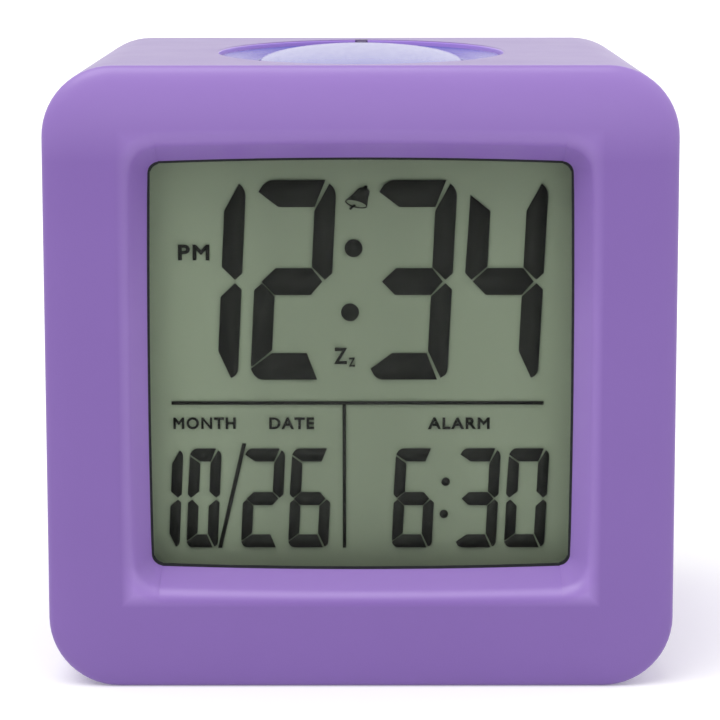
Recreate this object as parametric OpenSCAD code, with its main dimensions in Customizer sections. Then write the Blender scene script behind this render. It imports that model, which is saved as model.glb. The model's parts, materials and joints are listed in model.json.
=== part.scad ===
// Cube alarm clock: a soft skin over a hard case, a liquid crystal display, a large oval
// snooze button on top, and controls, sounder and battery compartment at the rear.
// +X is the right side seen from the front, +Y points to the rear, +Z is up.
// The origin lies on the resting surface, under the middle of the clock.
// Depths called "t" are measured from the front face towards the rear.

/* [Body] */
// Width of the clock
body_w = 80; // [76:0.5:100]
// Height of the skin, without the snooze button's crown
body_h = 79.6; // [78:0.2:100]
// Depth of the clock from front face to rear rim
body_d = 72; // [62:1:100]
// Radius of the four corners of the front outline
corner_r = 9; // [7:0.5:14]
// Width of the crowned band round the front face
crown_w = 6; // [3:0.5:8]
// How far the crowned band falls back at the outline
crown_t = 1.6; // [0.8:0.1:2.4]
// Wall of the soft skin
skin_wall = 2.6; // [2:0.1:3.4]
// Wall of the hard case
case_wall = 2; // [1.6:0.1:2.4]

/* [Window] */
// Width of the window where it meets the lens
window_w = 54.4; // [40:0.2:55]
// Height of the window where it meets the lens
window_h = 53.2; // [40:0.2:54]
// How much higher the window sits than the middle of the clock
window_rise = 1.4; // [0:0.1:1.6]
// Outward bow of the top and bottom window edges
window_bow = 0.5; // [0.2:0.1:1]
// Corner radius of the window
window_r = 1.5; // [1:0.1:3]
// Depth of the sloping bezel
bezel_t = 4.5; // [3:0.1:6]
// Width of the sloping bezel seen from the front
bezel_w = 2.6; // [1.5:0.1:3.2]

/* [Display] */
// Thickness of the clear lens
lens_thick = 1.2; // [0.8:0.1:2]
// Thickness of each display glass
glass_thick = 1.1; // [0.7:0.1:1.1]
// Thickness of the light guide
guide_thick = 2.4; // [1.6:0.1:3]
// Thickness of the main circuit board
board_thick = 1.6; // [1:0.1:1.6]

/* [Snooze button] */
// Width of the oval recess in the top
recess_w = 38.4; // [34:0.2:42]
// Length of the oval recess, front to rear
recess_l = 61; // [50:0.1:61]
// How far the middle of the recess lies in front of the middle of the clock
recess_shift = 1.5; // [0:0.1:1.5]
// Height of the visible skin edge round the recess
recess_step = 0.7; // [0.4:0.1:1]
// Width of the surround at each side of the snooze button
surround_side = 5.15; // [3:0.05:7]
// Width of the surround in front of and behind the snooze button
surround_end = 1.6; // [1:0.1:4]
// Height of the button's crown above the top face
snooze_rise = 0.65; // [0.4:0.05:2]
// Press travel of the snooze button
snooze_travel = 1.2; // [0.6:0.1:1.3]
// Gap between the snooze button and its surround
snooze_gap = 0.4; // [0.3:0.05:0.6]

/* [Rear controls] */
// Radius of a control button
key_r = 3.6; // [3:0.1:4]
// Clearance round a control button
key_gap = 0.3; // [0.3:0.05:0.5]
// How far a control button stands proud
key_rise = 1.6; // [1:0.1:1.8]
// Press travel of a control button
key_travel = 0.8; // [0.4:0.1:0.8]
// Travel of the alarm slide switch
slide_travel = 3; // [2:0.1:4]
// Radius of one sound hole
sound_hole_r = 0.9; // [0.6:0.1:1.1]

/* [Batteries] */
// Length of one cell
cell_l = 44.5; // [44.5:0.1:44.5]
// Radius of one cell
cell_r = 5.25; // [5.25:0.05:5.25]
// Thickness of the battery door
door_thick = 1.6; // [1.4:0.1:2]
// Clearance round the battery door
door_gap = 0.3; // [0.3:0.05:0.5]

/* [Hidden] */

// Facets of exact round shapes and of ovals
$fn = 64;
oval_facets = 96;

// Small overlap that makes a cut pass cleanly through a face
eps = 0.02;
// Gap between pieces that are laid against each other
seat = 0.05;

// Depths of the front stack
gasket_thick = 0.4;
gasket_lip = 0.3;
lens_edge = 2.8;
case_front_wall = gasket_thick + lens_thick + 0.8;
case_t = bezel_t;
lens_t = case_t + gasket_thick;
stack_t = case_t + case_front_wall;
film_thick = 0.2;
front_glass_t = stack_t + film_thick;
rear_glass_t = front_glass_t + glass_thick;
rear_film_t = rear_glass_t + glass_thick;
guide_t = rear_film_t + film_thick;
reflector_t = guide_t + guide_thick;
board_t = reflector_t + film_thick + 0.5;
board_back_t = board_t + board_thick;

// Heights
window_z = body_h / 2 + window_rise;
cavity_bottom = skin_wall + case_wall;
cavity_top = body_h - skin_wall - case_wall;
case_top = body_h - skin_wall;
cavity_half_w = body_w / 2 - skin_wall - case_wall;

// Display sizes
lens_w = window_w + 2 * lens_edge;
lens_h = window_h + 2 * lens_edge;
lens_opening_trim = 1.2;
glass_w = window_w + 4.2;
rear_glass_h = window_h + 4;
ledge_h = 1.9;
front_glass_h = rear_glass_h + 2 * ledge_h;
strip_thick = 1.5;
frame_wall = 1.5;
frame_half_w = glass_w / 2 + 0.2 + 3.3;
frame_half_h = front_glass_h / 2 + 0.2 + frame_wall;

// Posts for the four long case screws
post_r = 2.6;
post_x = cavity_half_w - post_r;
post_low_z = cavity_bottom + post_r;
post_high_z = cavity_top - post_r;
screw_r = 1.2;
screw_head_r = 2.3;
screw_head_h = 1.1;
pilot_gap = 0.05;

// Rear cover
cover_thick = 2.5;
lip_thick = 1.6;
lip_w = 1.8;
cover_rim = 1;
cover_t = body_d - lip_thick - cover_rim - cover_thick;
cover_out_t = cover_t + cover_thick;
spigot = 3;

// Snooze stack
recess_t = body_d / 2 - recess_shift;
snooze_w = recess_w - 2 * (surround_side + snooze_gap);
snooze_l = recess_l - 2 * (surround_end + snooze_gap);
surround_low = 0.7;
surround_out_z = body_h - recess_step;
surround_in_z = surround_out_z - surround_low;
snooze_edge_z = surround_in_z + 0.15;
snooze_top_z = body_h + snooze_rise;
snooze_rim_z = cavity_top + snooze_travel + 0.2;
snooze_wall = 1.5;
snooze_ceiling_z = snooze_edge_z - 0.75;
flange_thick = 1.2;
flange_gap = 0.2;
flange_z = cavity_top - flange_gap - flange_thick;
flange_w = snooze_w + 3.4;
flange_l = 2 * (recess_t - board_back_t - 0.6);
plunger_r = 2.5;
tab_r = 0.85;
snooze_post_x = flange_w / 2 + 4.8;
snooze_post_r = 2.4;
snooze_board_half_l = 10;
snooze_board_thick = 1.2;
snooze_board_z = cavity_top - 7.2;
tact = 6;
tact_h = 3.1;
snooze_switch_z = snooze_board_z + snooze_board_thick;
snooze_plunger_z = snooze_switch_z + tact_h + snooze_travel + seat;

// Rear keys, seen from the front: keys on the left, sounder on the right
key_x = -17;
key_z = body_h / 2 + 16.4;
key_pitch_x = 13;
key_pitch_z = 11;
key_spots = [for (i = [-0.5, 0.5], j = [0.5, -0.5]) [key_x + i * key_pitch_x, key_z + j * key_pitch_z]];
key_flange_r = key_r + 1.2;
key_flange_thick = 0.8;
key_flange_gap = 0.3;
key_tact_r = 1.6;
key_board_thick = 1.2;
key_tact_h = 2.2;
key_button_h = 0.4;
key_flange_t = cover_t - key_flange_gap - key_flange_thick;
key_tact_top_t = key_flange_t - key_travel - seat;
key_board_t = key_tact_top_t - key_button_h - key_tact_h - key_board_thick;
key_board_w = key_pitch_x + 15;
key_board_top = key_z + key_pitch_z / 2 + 5;
slide_z = key_z - key_pitch_z / 2 - 9.6;
key_board_low = slide_z - 4;
key_post_r = 2.2;
key_post_spots = [
    [key_x - key_board_w / 2 + 2.6, key_z],
    [key_x + key_board_w / 2 - 2.6, key_z],
    [key_x + key_board_w / 2 - 2.6, slide_z]
];
knob_w = 5.4;
knob_h = 4;
knob_stem = 2.4;
knob_rise = 1.2;
knob_floor = 1.1;
slide_body_w = 9;
slide_body_h = 4.4;

// Sounder
sounder_x = 17;
sounder_z = key_z - 1;
disc_r = 13;
disc_thick = 0.3;
ceramic_r = 9;
ceramic_thick = 0.25;
holder_wall = 1.6;
holder_depth = 4;
sound_rings = [[0, 1], [4, 6], [8, 12]];

// Battery compartment
cell_gap = 0.6;
cell_pitch = 2 * cell_r + cell_gap;
spring_l = 5.5;
plate_thick = 0.5;
tub_w = cell_l + spring_l + 2 * plate_thick;
tub_h = 2 * cell_pitch + 0.8;
tub_wall = 1.4;
tub_z = cavity_bottom + 5.8 + tub_h / 2;
door_ledge = 1.8;
door_w = tub_w + 2 * door_ledge;
door_h = tub_h + 2 * door_ledge;
door_low = tub_z - door_h / 2;
door_high = tub_z + door_h / 2;
door_t = cover_out_t - door_thick;
door_seat_t = door_t - 0.2;
cell_t = door_seat_t - 1.4 - cell_r;
tub_t = cell_t - cell_r - 0.2;
hinge_z = door_low + door_thick / 2;
hinge_t = door_t + door_thick / 2;
hinge_pin_r = 0.5;
hinge_pin_l = 1.2;
hinge_gap = 0.05;
latch_w = 9;
latch_hook = 0.9;
nub_r = 1.9;
nub_l = 1;
spring_wire = 0.35;

// Wires, with a route of points picked by hand in x, t, z
wire_r = 0.65;
lead_x = frame_half_w - 7.8;
// Gap of the solder joint at the end of a wire
solder = 0.1;
ribbon_w = 10;
ribbon_thick = 0.8;
connector_h = 4;
connector_d = 3;

function y_at(t) = t - body_d / 2;
function oval(w, l) = [
    for (i = [0:oval_facets - 1])
        [w / 2 * cos(360 * i / oval_facets), l / 2 * sin(360 * i / oval_facets)]
];

// One quarter of a rectangle whose edges bow outwards, from the right middle to the top middle
bow_steps = 6;
function bowed_quarter(w, h, bow, r) = concat(
    [for (i = [0:bow_steps])
        let (s = (h / 2 - r) * i / bow_steps)
        [w / 2 - bow / 2 * pow(2 * s / h, 2), s]],
    [for (i = [1:bow_steps - 1])
        let (a = 90 * i / bow_steps)
        [w / 2 - bow / 2 - r + r * cos(a), h / 2 - bow - r + r * sin(a)]],
    [for (i = [bow_steps:-1:0])
        let (s = (w / 2 - r) * i / bow_steps)
        [s, h / 2 - bow * pow(2 * s / w, 2)]]
);
function mirrored_back(q, mx, my) = [for (i = [len(q) - 1:-1:0]) [mx * q[i][0], my * q[i][1]]];
function bowed(w, h, bow, r) =
    let (q = bowed_quarter(w, h, bow, r))
    concat(q, mirrored_back(q, -1, 1), [for (p = q) [-p[0], -p[1]]], mirrored_back(q, 1, -1));

// Direction along a route at point i, and a section ring round that point
function unit(v) = v / norm(v);
function heading(p, i) = unit(p[min(i + 1, len(p) - 1)] - p[max(i - 1, 0)]);
function section(c, d, up, r, sides) =
    let (u = unit(cross(up, d)), v = cross(d, u))
    [for (k = [0:sides - 1]) c + r * (u * cos(360 * k / sides) + v * sin(360 * k / sides))];

// Points of a smooth curve through hand picked points
function smooth_at(a, b, c, d, s) = 0.5 * (2 * b + (c - a) * s
    + (2 * a - 5 * b + 4 * c - d) * s * s + (3 * b - a - 3 * c + d) * s * s * s);
function smooth(p, n) = concat(
    [for (i = [0:len(p) - 2], k = [0:n - 1])
        smooth_at(p[max(i - 1, 0)], p[i], p[i + 1], p[min(i + 2, len(p) - 1)], k / n)],
    [p[len(p) - 1]]
);
function placed(p) = [for (q = p) [q[0], y_at(q[1]), q[2]]];

// Points of a coil along +Z from 0 to l whose radius goes from r0 to r1
coil_steps = 20;
function coil(r0, r1, l, turns) = [
    for (i = [0:turns * coil_steps])
        let (s = i / (turns * coil_steps), a = 360 * i / coil_steps, r = r0 + (r1 - r0) * s)
        [r * cos(a), r * sin(a), l * s]
];

// Closed solid through a list of rings that have the same number of points
module loft(rings) {
    n = len(rings);
    sides = len(rings[0]);
    walls = [
        for (i = [0:n - 2], k = [0:sides - 1])
            let (a = i * sides + k, b = i * sides + (k + 1) % sides)
            [a, a + sides, b + sides, b]
    ];
    start_cap = [for (k = [0:sides - 1]) k];
    end_cap = [for (k = [sides - 1:-1:0]) (n - 1) * sides + k];
    polyhedron(
        points = [for (r = rings) each r],
        faces = concat(walls, [start_cap, end_cap]),
        convexity = 6
    );
}

module tube(points, r, up = [0, 0, 1], sides = 8) {
    loft([for (i = [0:len(points) - 1]) section(points[i], heading(points, i), up, r, sides)]);
}

// Extrudes an outline drawn in x and z from depth t0 to depth t1
module between(t0, t1) {
    translate([0, y_at(t1), 0])
        rotate([90, 0, 0])
            linear_extrude(t1 - t0)
                children();
}

// Extrudes an outline drawn in x and y from height z0 to height z1
module levels(z0, z1) {
    translate([0, 0, z0])
        linear_extrude(z1 - z0)
            children();
}

// Round bar along the depth of the clock
module bar(x, z, r, t0, t1) {
    translate([x, y_at(t1), z])
        rotate([90, 0, 0])
            cylinder(r = r, h = t1 - t0);
}

// Block given by its x, depth and height ranges
module block(x0, x1, t0, t1, z0, z1) {
    translate([x0, y_at(t0), z0])
        cube([x1 - x0, t1 - t0, z1 - z0]);
}

module rounded_rect(w, h, r) {
    square([w - 2 * r, h], center = true);
    square([w, h - 2 * r], center = true);
    for (x = [-1, 1], y = [-1, 1])
        translate([x * (w / 2 - r), y * (h / 2 - r)])
            circle(r);
}

// Outline of the clock, drawn in from its outer edge by inset
module body_outline(inset) {
    translate([0, body_h / 2])
        rounded_rect(body_w - 2 * inset, body_h - 2 * inset, max(corner_r - inset, 1));
}

module window_outline(grow) {
    translate([0, window_z])
        polygon(bowed(window_w + 2 * grow, window_h + 2 * grow, window_bow, window_r + grow / 2));
}

module oval_at(w, l) {
    translate([0, y_at(recess_t)])
        polygon(oval(w, l));
}

module post_spots() {
    for (x = [-post_x, post_x], z = [post_low_z, post_high_z])
        translate([x, 0, z])
            children();
}

// Screw along +Y with its head towards the rear, its head seat at depth t
module screw(x, z, t, shank_r, shank_l, head_r, head_h) {
    difference() {
        union() {
            bar(x, z, shank_r, t - shank_l, t);
            bar(x, z, head_r, t, t + head_h);
        }
        for (turn = [0, 90])
            translate([x, y_at(t + head_h), z])
                rotate([0, turn, 0])
                    cube([head_r * 1.1, head_h, head_r * 0.26], center = true);
    }
}

// ---- Skin, case and window ----

crown_steps = 8;
corner_steps = 8;
rear_edge = 1;

// Ring of points on the clock's outline at depth t, drawn in from its outer edge by inset
function body_ring(inset, t) =
    let (
        r = max(corner_r - inset, 1),
        w = body_w / 2 - inset - r,
        h = body_h / 2 - inset - r
    )
    [for (c = [0:3], j = [0:corner_steps])
        let (a = 90 * (c + j / corner_steps))
        [
            (c == 0 || c == 3 ? w : -w) + r * cos(a),
            y_at(t),
            body_h / 2 + (c < 2 ? h : -h) + r * sin(a)
        ]];

// Solid with the clock's outer shape: crowned front, straight sides, softened rear edge
module sleeve_blank() {
    loft(concat(
        [body_ring(rear_edge * 0.6, body_d), body_ring(0, body_d - rear_edge)],
        [for (i = [crown_steps:-1:0])
            let (s = i / crown_steps)
            body_ring(crown_w * pow(1 - s, 2), crown_t * s * s)]
    ));
}

// Funnel of the bezel, from the front face down to the lens
module bezel_funnel() {
    hull() {
        between(-eps, 0)
            window_outline(bezel_w);
        between(bezel_t, bezel_t + eps)
            window_outline(0);
    }
}

module sleeve() {
    color("mediumpurple") {
        difference() {
            sleeve_blank();
            bezel_funnel();
            between(bezel_t, body_d - lip_thick)
                body_outline(skin_wall);
            between(bezel_t + 1, body_d + 1)
                body_outline(skin_wall + lip_w);
            levels(case_top - 1, body_h + 1)
                oval_at(recess_w, recess_l);
        }
        translate([0, y_at(recess_t) + recess_l / 2, case_top + seat])
            cylinder(r = tab_r, h = skin_wall - seat - 0.2);
    }
}

module front_case() {
    color("slateblue")
        difference() {
            union() {
                difference() {
                    between(case_t, cover_t)
                        body_outline(skin_wall + seat);
                    between(stack_t, cover_t + 1)
                        body_outline(skin_wall + case_wall);
                }
                post_spots()
                    bar(0, 0, post_r, stack_t - 0.5, cover_t);
                for (x = [-snooze_post_x, snooze_post_x])
                    translate([x, y_at(recess_t), snooze_switch_z])
                        cylinder(r = snooze_post_r, h = cavity_top - snooze_switch_z + 0.5);
            }
            // Opening and ledge for the lens
            between(case_t - 1, lens_t + lens_thick)
                translate([0, window_z])
                    square([lens_w + 2 * seat, lens_h + 2 * seat], center = true);
            between(case_t, stack_t + 1)
                translate([0, window_z])
                    square([window_w + lens_opening_trim, window_h + lens_opening_trim], center = true);
            // Opening for the snooze button
            levels(cavity_top, case_top + 1)
                oval_at(snooze_w + 2 * snooze_gap, snooze_l + 2 * snooze_gap);
            // Pilot bores for the case, board and snooze board screws
            post_spots()
                bar(0, 0, screw_r + pilot_gap, cover_t - 11, cover_t + 1);
            board_screw_spots()
                bar(0, 0, board_screw_r + pilot_gap, stack_t - 1.7, stack_t + 1);
            for (x = [-snooze_post_x, snooze_post_x])
                translate([x, y_at(recess_t), snooze_switch_z - 1])
                    cylinder(r = board_screw_r + pilot_gap, h = 5);
        }
}

module window_gasket() {
    color("black")
        between(case_t, lens_t)
            difference() {
                translate([0, window_z])
                    square([lens_w, lens_h], center = true);
                window_outline(-gasket_lip);
            }
}

module lens() {
    color("white", 0.3)
        between(lens_t, lens_t + lens_thick)
            translate([0, window_z])
                square([lens_w, lens_h], center = true);
}

// ---- Display stack ----

module panel(w, h, t0, t1) {
    between(t0, t1)
        translate([0, window_z])
            square([w, h], center = true);
}

module lcd_front_polarizer() {
    color("darkseagreen", 0.4)
        panel(glass_w - 1, front_glass_h - 2 * ledge_h, stack_t, front_glass_t);
}

module lcd_front_glass() {
    color("lightgray", 0.4)
        panel(glass_w, front_glass_h, front_glass_t, rear_glass_t);
}

module lcd_rear_glass() {
    color("lightgray", 0.4)
        panel(glass_w, rear_glass_h, rear_glass_t, rear_film_t);
}

module lcd_rear_polarizer() {
    color("darkseagreen")
        panel(glass_w - 1, rear_glass_h - 1, rear_film_t, guide_t);
}

module light_guide() {
    color("honeydew")
        panel(glass_w - 2, rear_glass_h - 1, guide_t, reflector_t);
}

module guide_reflector() {
    color("white")
        panel(glass_w - 2, rear_glass_h - 1, reflector_t, reflector_t + film_thick);
}

led_w = 3.4;
led_thick = 1.2;
led_depth = 1.6;
led_x = -glass_w / 2 + 1 - led_thick - seat;
module backlight_led() {
    color("ivory")
        block(led_x, led_x + led_thick, board_t - led_depth - 1, board_t,
            window_z - led_w / 2, window_z + led_w / 2);
}

// Places of the four screws that clamp the main board and display frame
board_screw_r = 0.9;
board_screw_x = frame_half_w - 1.7;
module board_screw_spots() {
    for (x = [-board_screw_x, board_screw_x], z = [-0.3, 0.3])
        translate([x, 0, window_z + z * front_glass_h])
            children();
}

// Corner notches that let the long case posts pass
module post_notches(t0, t1) {
    post_spots()
        bar(0, 0, post_r + 0.25, t0 - 1, t1 + 1);
}

module lcd_frame() {
    color("gainsboro")
        difference() {
            panel(2 * frame_half_w, 2 * frame_half_h, stack_t, board_t);
            panel(glass_w + 0.4, front_glass_h + 0.4, stack_t - 1, board_t + 1);
            block(led_x - seat, 0, guide_t, board_t + 1,
                window_z - led_w / 2 - 0.3, window_z + led_w / 2 + 0.3);
            post_notches(stack_t, board_t);
            board_screw_spots()
                bar(0, 0, board_screw_r + 0.2, stack_t - 1, board_t + 1);
        }
}

module contact_strips() {
    color("pink")
        for (side = [-1, 1])
            translate([0, 0, side * (front_glass_h - ledge_h) / 2])
                panel(window_w - 2, strip_thick, rear_glass_t, board_t);
}

// ---- Main board ----

module main_board() {
    color("darkgreen")
        difference() {
            panel(2 * frame_half_w, 2 * frame_half_h, board_t, board_back_t);
            post_notches(board_t, board_back_t);
            board_screw_spots()
                bar(0, 0, board_screw_r + 0.2, board_t - 1, board_back_t + 1);
        }
}

chip_r = 8;
chip_rise = 1.6;
module chip_cover() {
    color("black")
        difference() {
            translate([6, y_at(board_back_t), window_z - 6])
                scale([1, chip_rise / chip_r, 1])
                    sphere(chip_r);
            block(-body_w, body_w, 0, board_back_t, 0, body_h);
        }
}

crystal_r = 1.5;
crystal_l = 8;
module quartz_crystal() {
    color("silver")
        translate([20, y_at(board_back_t) + crystal_r, window_z - 8]) {
            cylinder(r = crystal_r, h = crystal_l);
            for (x = [-0.6, 0.6])
                translate([x, 0, -2.4])
                    cylinder(r = 0.25, h = 2.5);
        }
}

capacitor_r = 2.5;
capacitor_l = 7;
module board_components() {
    color("dimgray") {
        for (i = [0:5])
            block(-24 + 4 * i, -22 + 4 * i, board_back_t, board_back_t + 0.7,
                window_z + 12, window_z + 13.2);
        for (i = [0:3])
            block(-22, -18, board_back_t, board_back_t + 1.4,
                window_z - 22 + 5 * i, window_z - 19.5 + 5 * i);
        bar(18, window_z + 14, capacitor_r, board_back_t, board_back_t + capacitor_l);
        connector(key_x, key_z, board_back_t);
        block(-2.5, 2.5, board_back_t, board_back_t + connector_d,
            window_z + 20, window_z + 24);
    }
}

// Small socket that the ribbon cable runs into
module connector(x, z, t) {
    block(x - ribbon_w / 2 - 1, x + ribbon_w / 2 + 1, t, t + connector_d,
        z - connector_h / 2, z + connector_h / 2);
}

module board_screws() {
    color("silver")
        board_screw_spots()
            screw(0, 0, board_back_t, board_screw_r, board_back_t - stack_t + 1.5, 1.8, 1);
}

// ---- Snooze button and what is under it ----

module surround_floor() {
    hull() {
        levels(surround_in_z, surround_in_z + eps)
            oval_at(snooze_w + 2 * snooze_gap, snooze_l + 2 * snooze_gap);
        levels(surround_out_z, surround_out_z + 1)
            oval_at(recess_w - 0.4, recess_l - 0.4);
    }
}

module snooze_surround() {
    color("lightsteelblue")
        difference() {
            levels(case_top, surround_out_z)
                oval_at(recess_w - 2 * seat, recess_l - 2 * seat);
            surround_floor();
            levels(case_top - 1, body_h)
                oval_at(snooze_w + 2 * snooze_gap, snooze_l + 2 * snooze_gap);
            translate([0, y_at(recess_t) + recess_l / 2, case_top - 1])
                cylinder(r = tab_r + seat, h = skin_wall + 1);
        }
}

crown_slices = 6;
module snooze_crown() {
    rise = snooze_top_z - snooze_edge_z;
    hull()
        for (i = [0:crown_slices]) {
            s = i / crown_slices;
            reach = sqrt(1 - pow(s, 2) * 0.97);
            z = snooze_edge_z + (rise - eps) * s;
            levels(z, z + eps)
                oval_at(snooze_w * reach, snooze_l * reach);
        }
}

module snooze_button() {
    color("lightsteelblue", 0.9) {
        snooze_crown();
        difference() {
            levels(snooze_rim_z, snooze_edge_z)
                oval_at(snooze_w, snooze_l);
            levels(snooze_rim_z - 1, snooze_ceiling_z)
                oval_at(snooze_w - 2 * snooze_wall, snooze_l - 2 * snooze_wall);
        }
        difference() {
            union() {
                levels(flange_z, snooze_ceiling_z + 0.1)
                    oval_at(snooze_w - 0.8, flange_l - 3.4);
                levels(flange_z, flange_z + flange_thick)
                    oval_at(flange_w, flange_l);
            }
            levels(flange_z - 1, snooze_ceiling_z)
                oval_at(snooze_w - 0.8 - 2 * snooze_wall, flange_l - 3.4 - 2 * snooze_wall);
        }
        translate([0, y_at(recess_t), snooze_plunger_z])
            cylinder(r = plunger_r, h = snooze_ceiling_z - snooze_plunger_z + 0.1);
    }
}

snooze_coil_r = 4.9;
snooze_wire = 0.3;
module snooze_spring() {
    color("silver")
        translate([0, y_at(recess_t), snooze_switch_z + snooze_wire])
            tube(coil(snooze_coil_r, snooze_coil_r,
                snooze_ceiling_z - snooze_switch_z - 2 * snooze_wire, 5), snooze_wire);
}

module snooze_board() {
    color("darkgreen")
        difference() {
            block(-snooze_post_x - 3, snooze_post_x + 3,
                recess_t - snooze_board_half_l, recess_t + snooze_board_half_l,
                snooze_board_z, snooze_switch_z);
            for (x = [-snooze_post_x, snooze_post_x])
                translate([x, y_at(recess_t), snooze_board_z - 1])
                    cylinder(r = board_screw_r + 0.2, h = snooze_board_thick + 2);
        }
}

module snooze_switch() {
    color("dimgray") {
        translate([-tact / 2, y_at(recess_t) - tact / 2, snooze_switch_z])
            cube([tact, tact, tact_h - 0.6]);
        translate([0, y_at(recess_t), snooze_switch_z + tact_h - 0.7])
            cylinder(r = 1.7, h = 0.7);
    }
}

module snooze_board_screws() {
    color("silver")
        for (x = [-snooze_post_x, snooze_post_x])
            translate([x, y_at(recess_t), snooze_board_z])
                rotate([-90, 0, 0])
                    translate([0, -y_at(0), 0])
                        screw(0, 0, 0, board_screw_r, 4.4, 1.8, 1);
}

// ---- Rear cover ----

module key_holes() {
    for (s = key_spots)
        bar(s[0], s[1], key_r + key_gap, cover_t - 1, cover_out_t + 1);
}

module sound_holes() {
    for (ring = sound_rings, i = [0:ring[1] - 1])
        bar(sounder_x + ring[0] * cos(360 * i / ring[1]),
            sounder_z + ring[0] * sin(360 * i / ring[1]),
            sound_hole_r, cover_t - 1, cover_out_t + 1);
}

module knob_window() {
    block(key_x - slide_travel / 2 - knob_w / 2 - 0.3, key_x + slide_travel / 2 + knob_w / 2 + 0.3,
        cover_out_t - knob_floor, cover_out_t + 1,
        slide_z - knob_h / 2 - 0.3, slide_z + knob_h / 2 + 0.3);
    block(key_x - slide_travel / 2 - knob_stem / 2 - 0.3, key_x + slide_travel / 2 + knob_stem / 2 + 0.3,
        cover_t - 1, cover_out_t,
        slide_z - knob_stem / 2 - 0.3, slide_z + knob_stem / 2 + 0.3);
}

module rear_cover() {
    color("rebeccapurple")
        difference() {
            union() {
                between(cover_t, cover_out_t)
                    body_outline(skin_wall + seat);
                between(cover_out_t - 0.5, cover_out_t + cover_rim)
                    difference() {
                        body_outline(skin_wall + seat);
                        body_outline(skin_wall + lip_w + 1.2);
                    }
                between(cover_t - spigot, cover_t + 0.5)
                    difference() {
                        body_outline(skin_wall + case_wall + 0.1);
                        body_outline(skin_wall + case_wall + 1.3);
                    }
                panel_at(tub_w + 2 * tub_wall, tub_h + 2 * tub_wall, tub_t - tub_wall, cover_t + 0.5);
                for (s = key_post_spots)
                    bar(s[0], s[1], key_post_r, key_board_t + key_board_thick, cover_t + 0.5);
            }
            panel_at(door_w + 2 * door_gap, door_h + 2 * door_gap, door_seat_t, cover_out_t + 1);
            panel_at(tub_w, tub_h, tub_t, cover_out_t + 1);
            hinge_cut();
            latch_cut();
            key_holes();
            sound_holes();
            knob_window();
            post_spots() {
                bar(0, 0, post_r + 0.25, cover_t - spigot - 1, cover_t);
                bar(0, 0, screw_r + 0.3, cover_t - 1, cover_out_t + 1);
                bar(0, 0, screw_head_r + 0.3, cover_out_t - screw_head_h, cover_out_t + cover_rim + 1);
            }
            for (s = key_post_spots)
                bar(s[0], s[1], board_screw_r + pilot_gap, key_board_t, cover_t + 1);
        }
}

// Rectangle centred on the battery compartment, from depth t0 to t1
module panel_at(w, h, t0, t1) {
    between(t0, t1)
        translate([0, tub_z])
            square([w, h], center = true);
}

module hinge_cut() {
    translate([-door_w / 2 - door_gap - hinge_pin_l - 0.2, y_at(hinge_t), hinge_z])
        rotate([0, 90, 0])
            cylinder(r = hinge_pin_r + hinge_gap, h = door_w + 2 * (door_gap + hinge_pin_l + 0.2));
}

// Undercut in the cover above the door that the latch hooks into
module latch_cut() {
    block(-latch_w / 2 - 0.3, latch_w / 2 + 0.3, cover_out_t - 1.7, cover_out_t - 0.8,
        door_high, door_high + door_gap + latch_hook + 0.2);
}

module case_screws() {
    color("silver")
        post_spots()
            screw(0, 0, cover_out_t - screw_head_h, screw_r, 11, screw_head_r, screw_head_h);
}

// ---- Rear keys ----

module key_board() {
    color("darkgreen")
        difference() {
            block(key_x - key_board_w / 2, key_x + key_board_w / 2,
                key_board_t, key_board_t + key_board_thick, key_board_low, key_board_top);
            for (s = key_post_spots)
                bar(s[0], s[1], board_screw_r + 0.2, key_board_t - 1, key_board_t + key_board_thick + 1);
        }
}

module key_switches() {
    t = key_board_t + key_board_thick;
    color("dimgray")
        for (s = key_spots) {
            block(s[0] - tact / 2, s[0] + tact / 2, t, t + key_tact_h, s[1] - tact / 2, s[1] + tact / 2);
            bar(s[0], s[1], key_tact_r, t + key_tact_h - 0.1, key_tact_top_t);
        }
}

module key_board_screws() {
    color("silver")
        for (s = key_post_spots)
            translate([s[0], 0, s[1]])
                mirror([0, 1, 0])
                    translate([0, -y_at(key_board_t) - y_at(0), 0])
                        screw(0, 0, 0, board_screw_r, 3.6, 1.8, 1);
}

// Round button: cap through the cover, flange behind it
module key_button(spot) {
    difference() {
        union() {
            bar(spot[0], spot[1], key_r, key_flange_t, cover_out_t + key_rise - 0.4);
            translate([spot[0], y_at(cover_out_t + key_rise - 0.4), spot[1]])
                rotate([-90, 0, 0])
                    cylinder(r1 = key_r, r2 = key_r - 0.4, h = 0.4);
            bar(spot[0], spot[1], key_flange_r, key_flange_t, key_flange_t + key_flange_thick);
        }
        bar(spot[0], spot[1], key_r - 1.2, key_flange_t + 1, cover_out_t - 0.4);
    }
}

module set_button() {
    color("lavender")
        key_button(key_spots[0]);
}

module mode_button() {
    color("lavender")
        key_button(key_spots[1]);
}

module up_button() {
    color("lavender")
        key_button(key_spots[2]);
}

module down_button() {
    color("lavender")
        key_button(key_spots[3]);
}

slide_body_t = key_board_t + key_board_thick;
slide_body_top = cover_t - 0.9;
module alarm_switch_body() {
    color("silver")
        difference() {
            block(key_x - slide_body_w / 2, key_x + slide_body_w / 2,
                slide_body_t, slide_body_top, slide_z - slide_body_h / 2, slide_z + slide_body_h / 2);
            block(key_x - slide_travel / 2 - knob_stem / 2 - 0.3,
                key_x + slide_travel / 2 + knob_stem / 2 + 0.3,
                slide_body_top - 2, slide_body_top + 1,
                slide_z - knob_stem / 2 - 0.3, slide_z + knob_stem / 2 + 0.3);
        }
}

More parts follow.
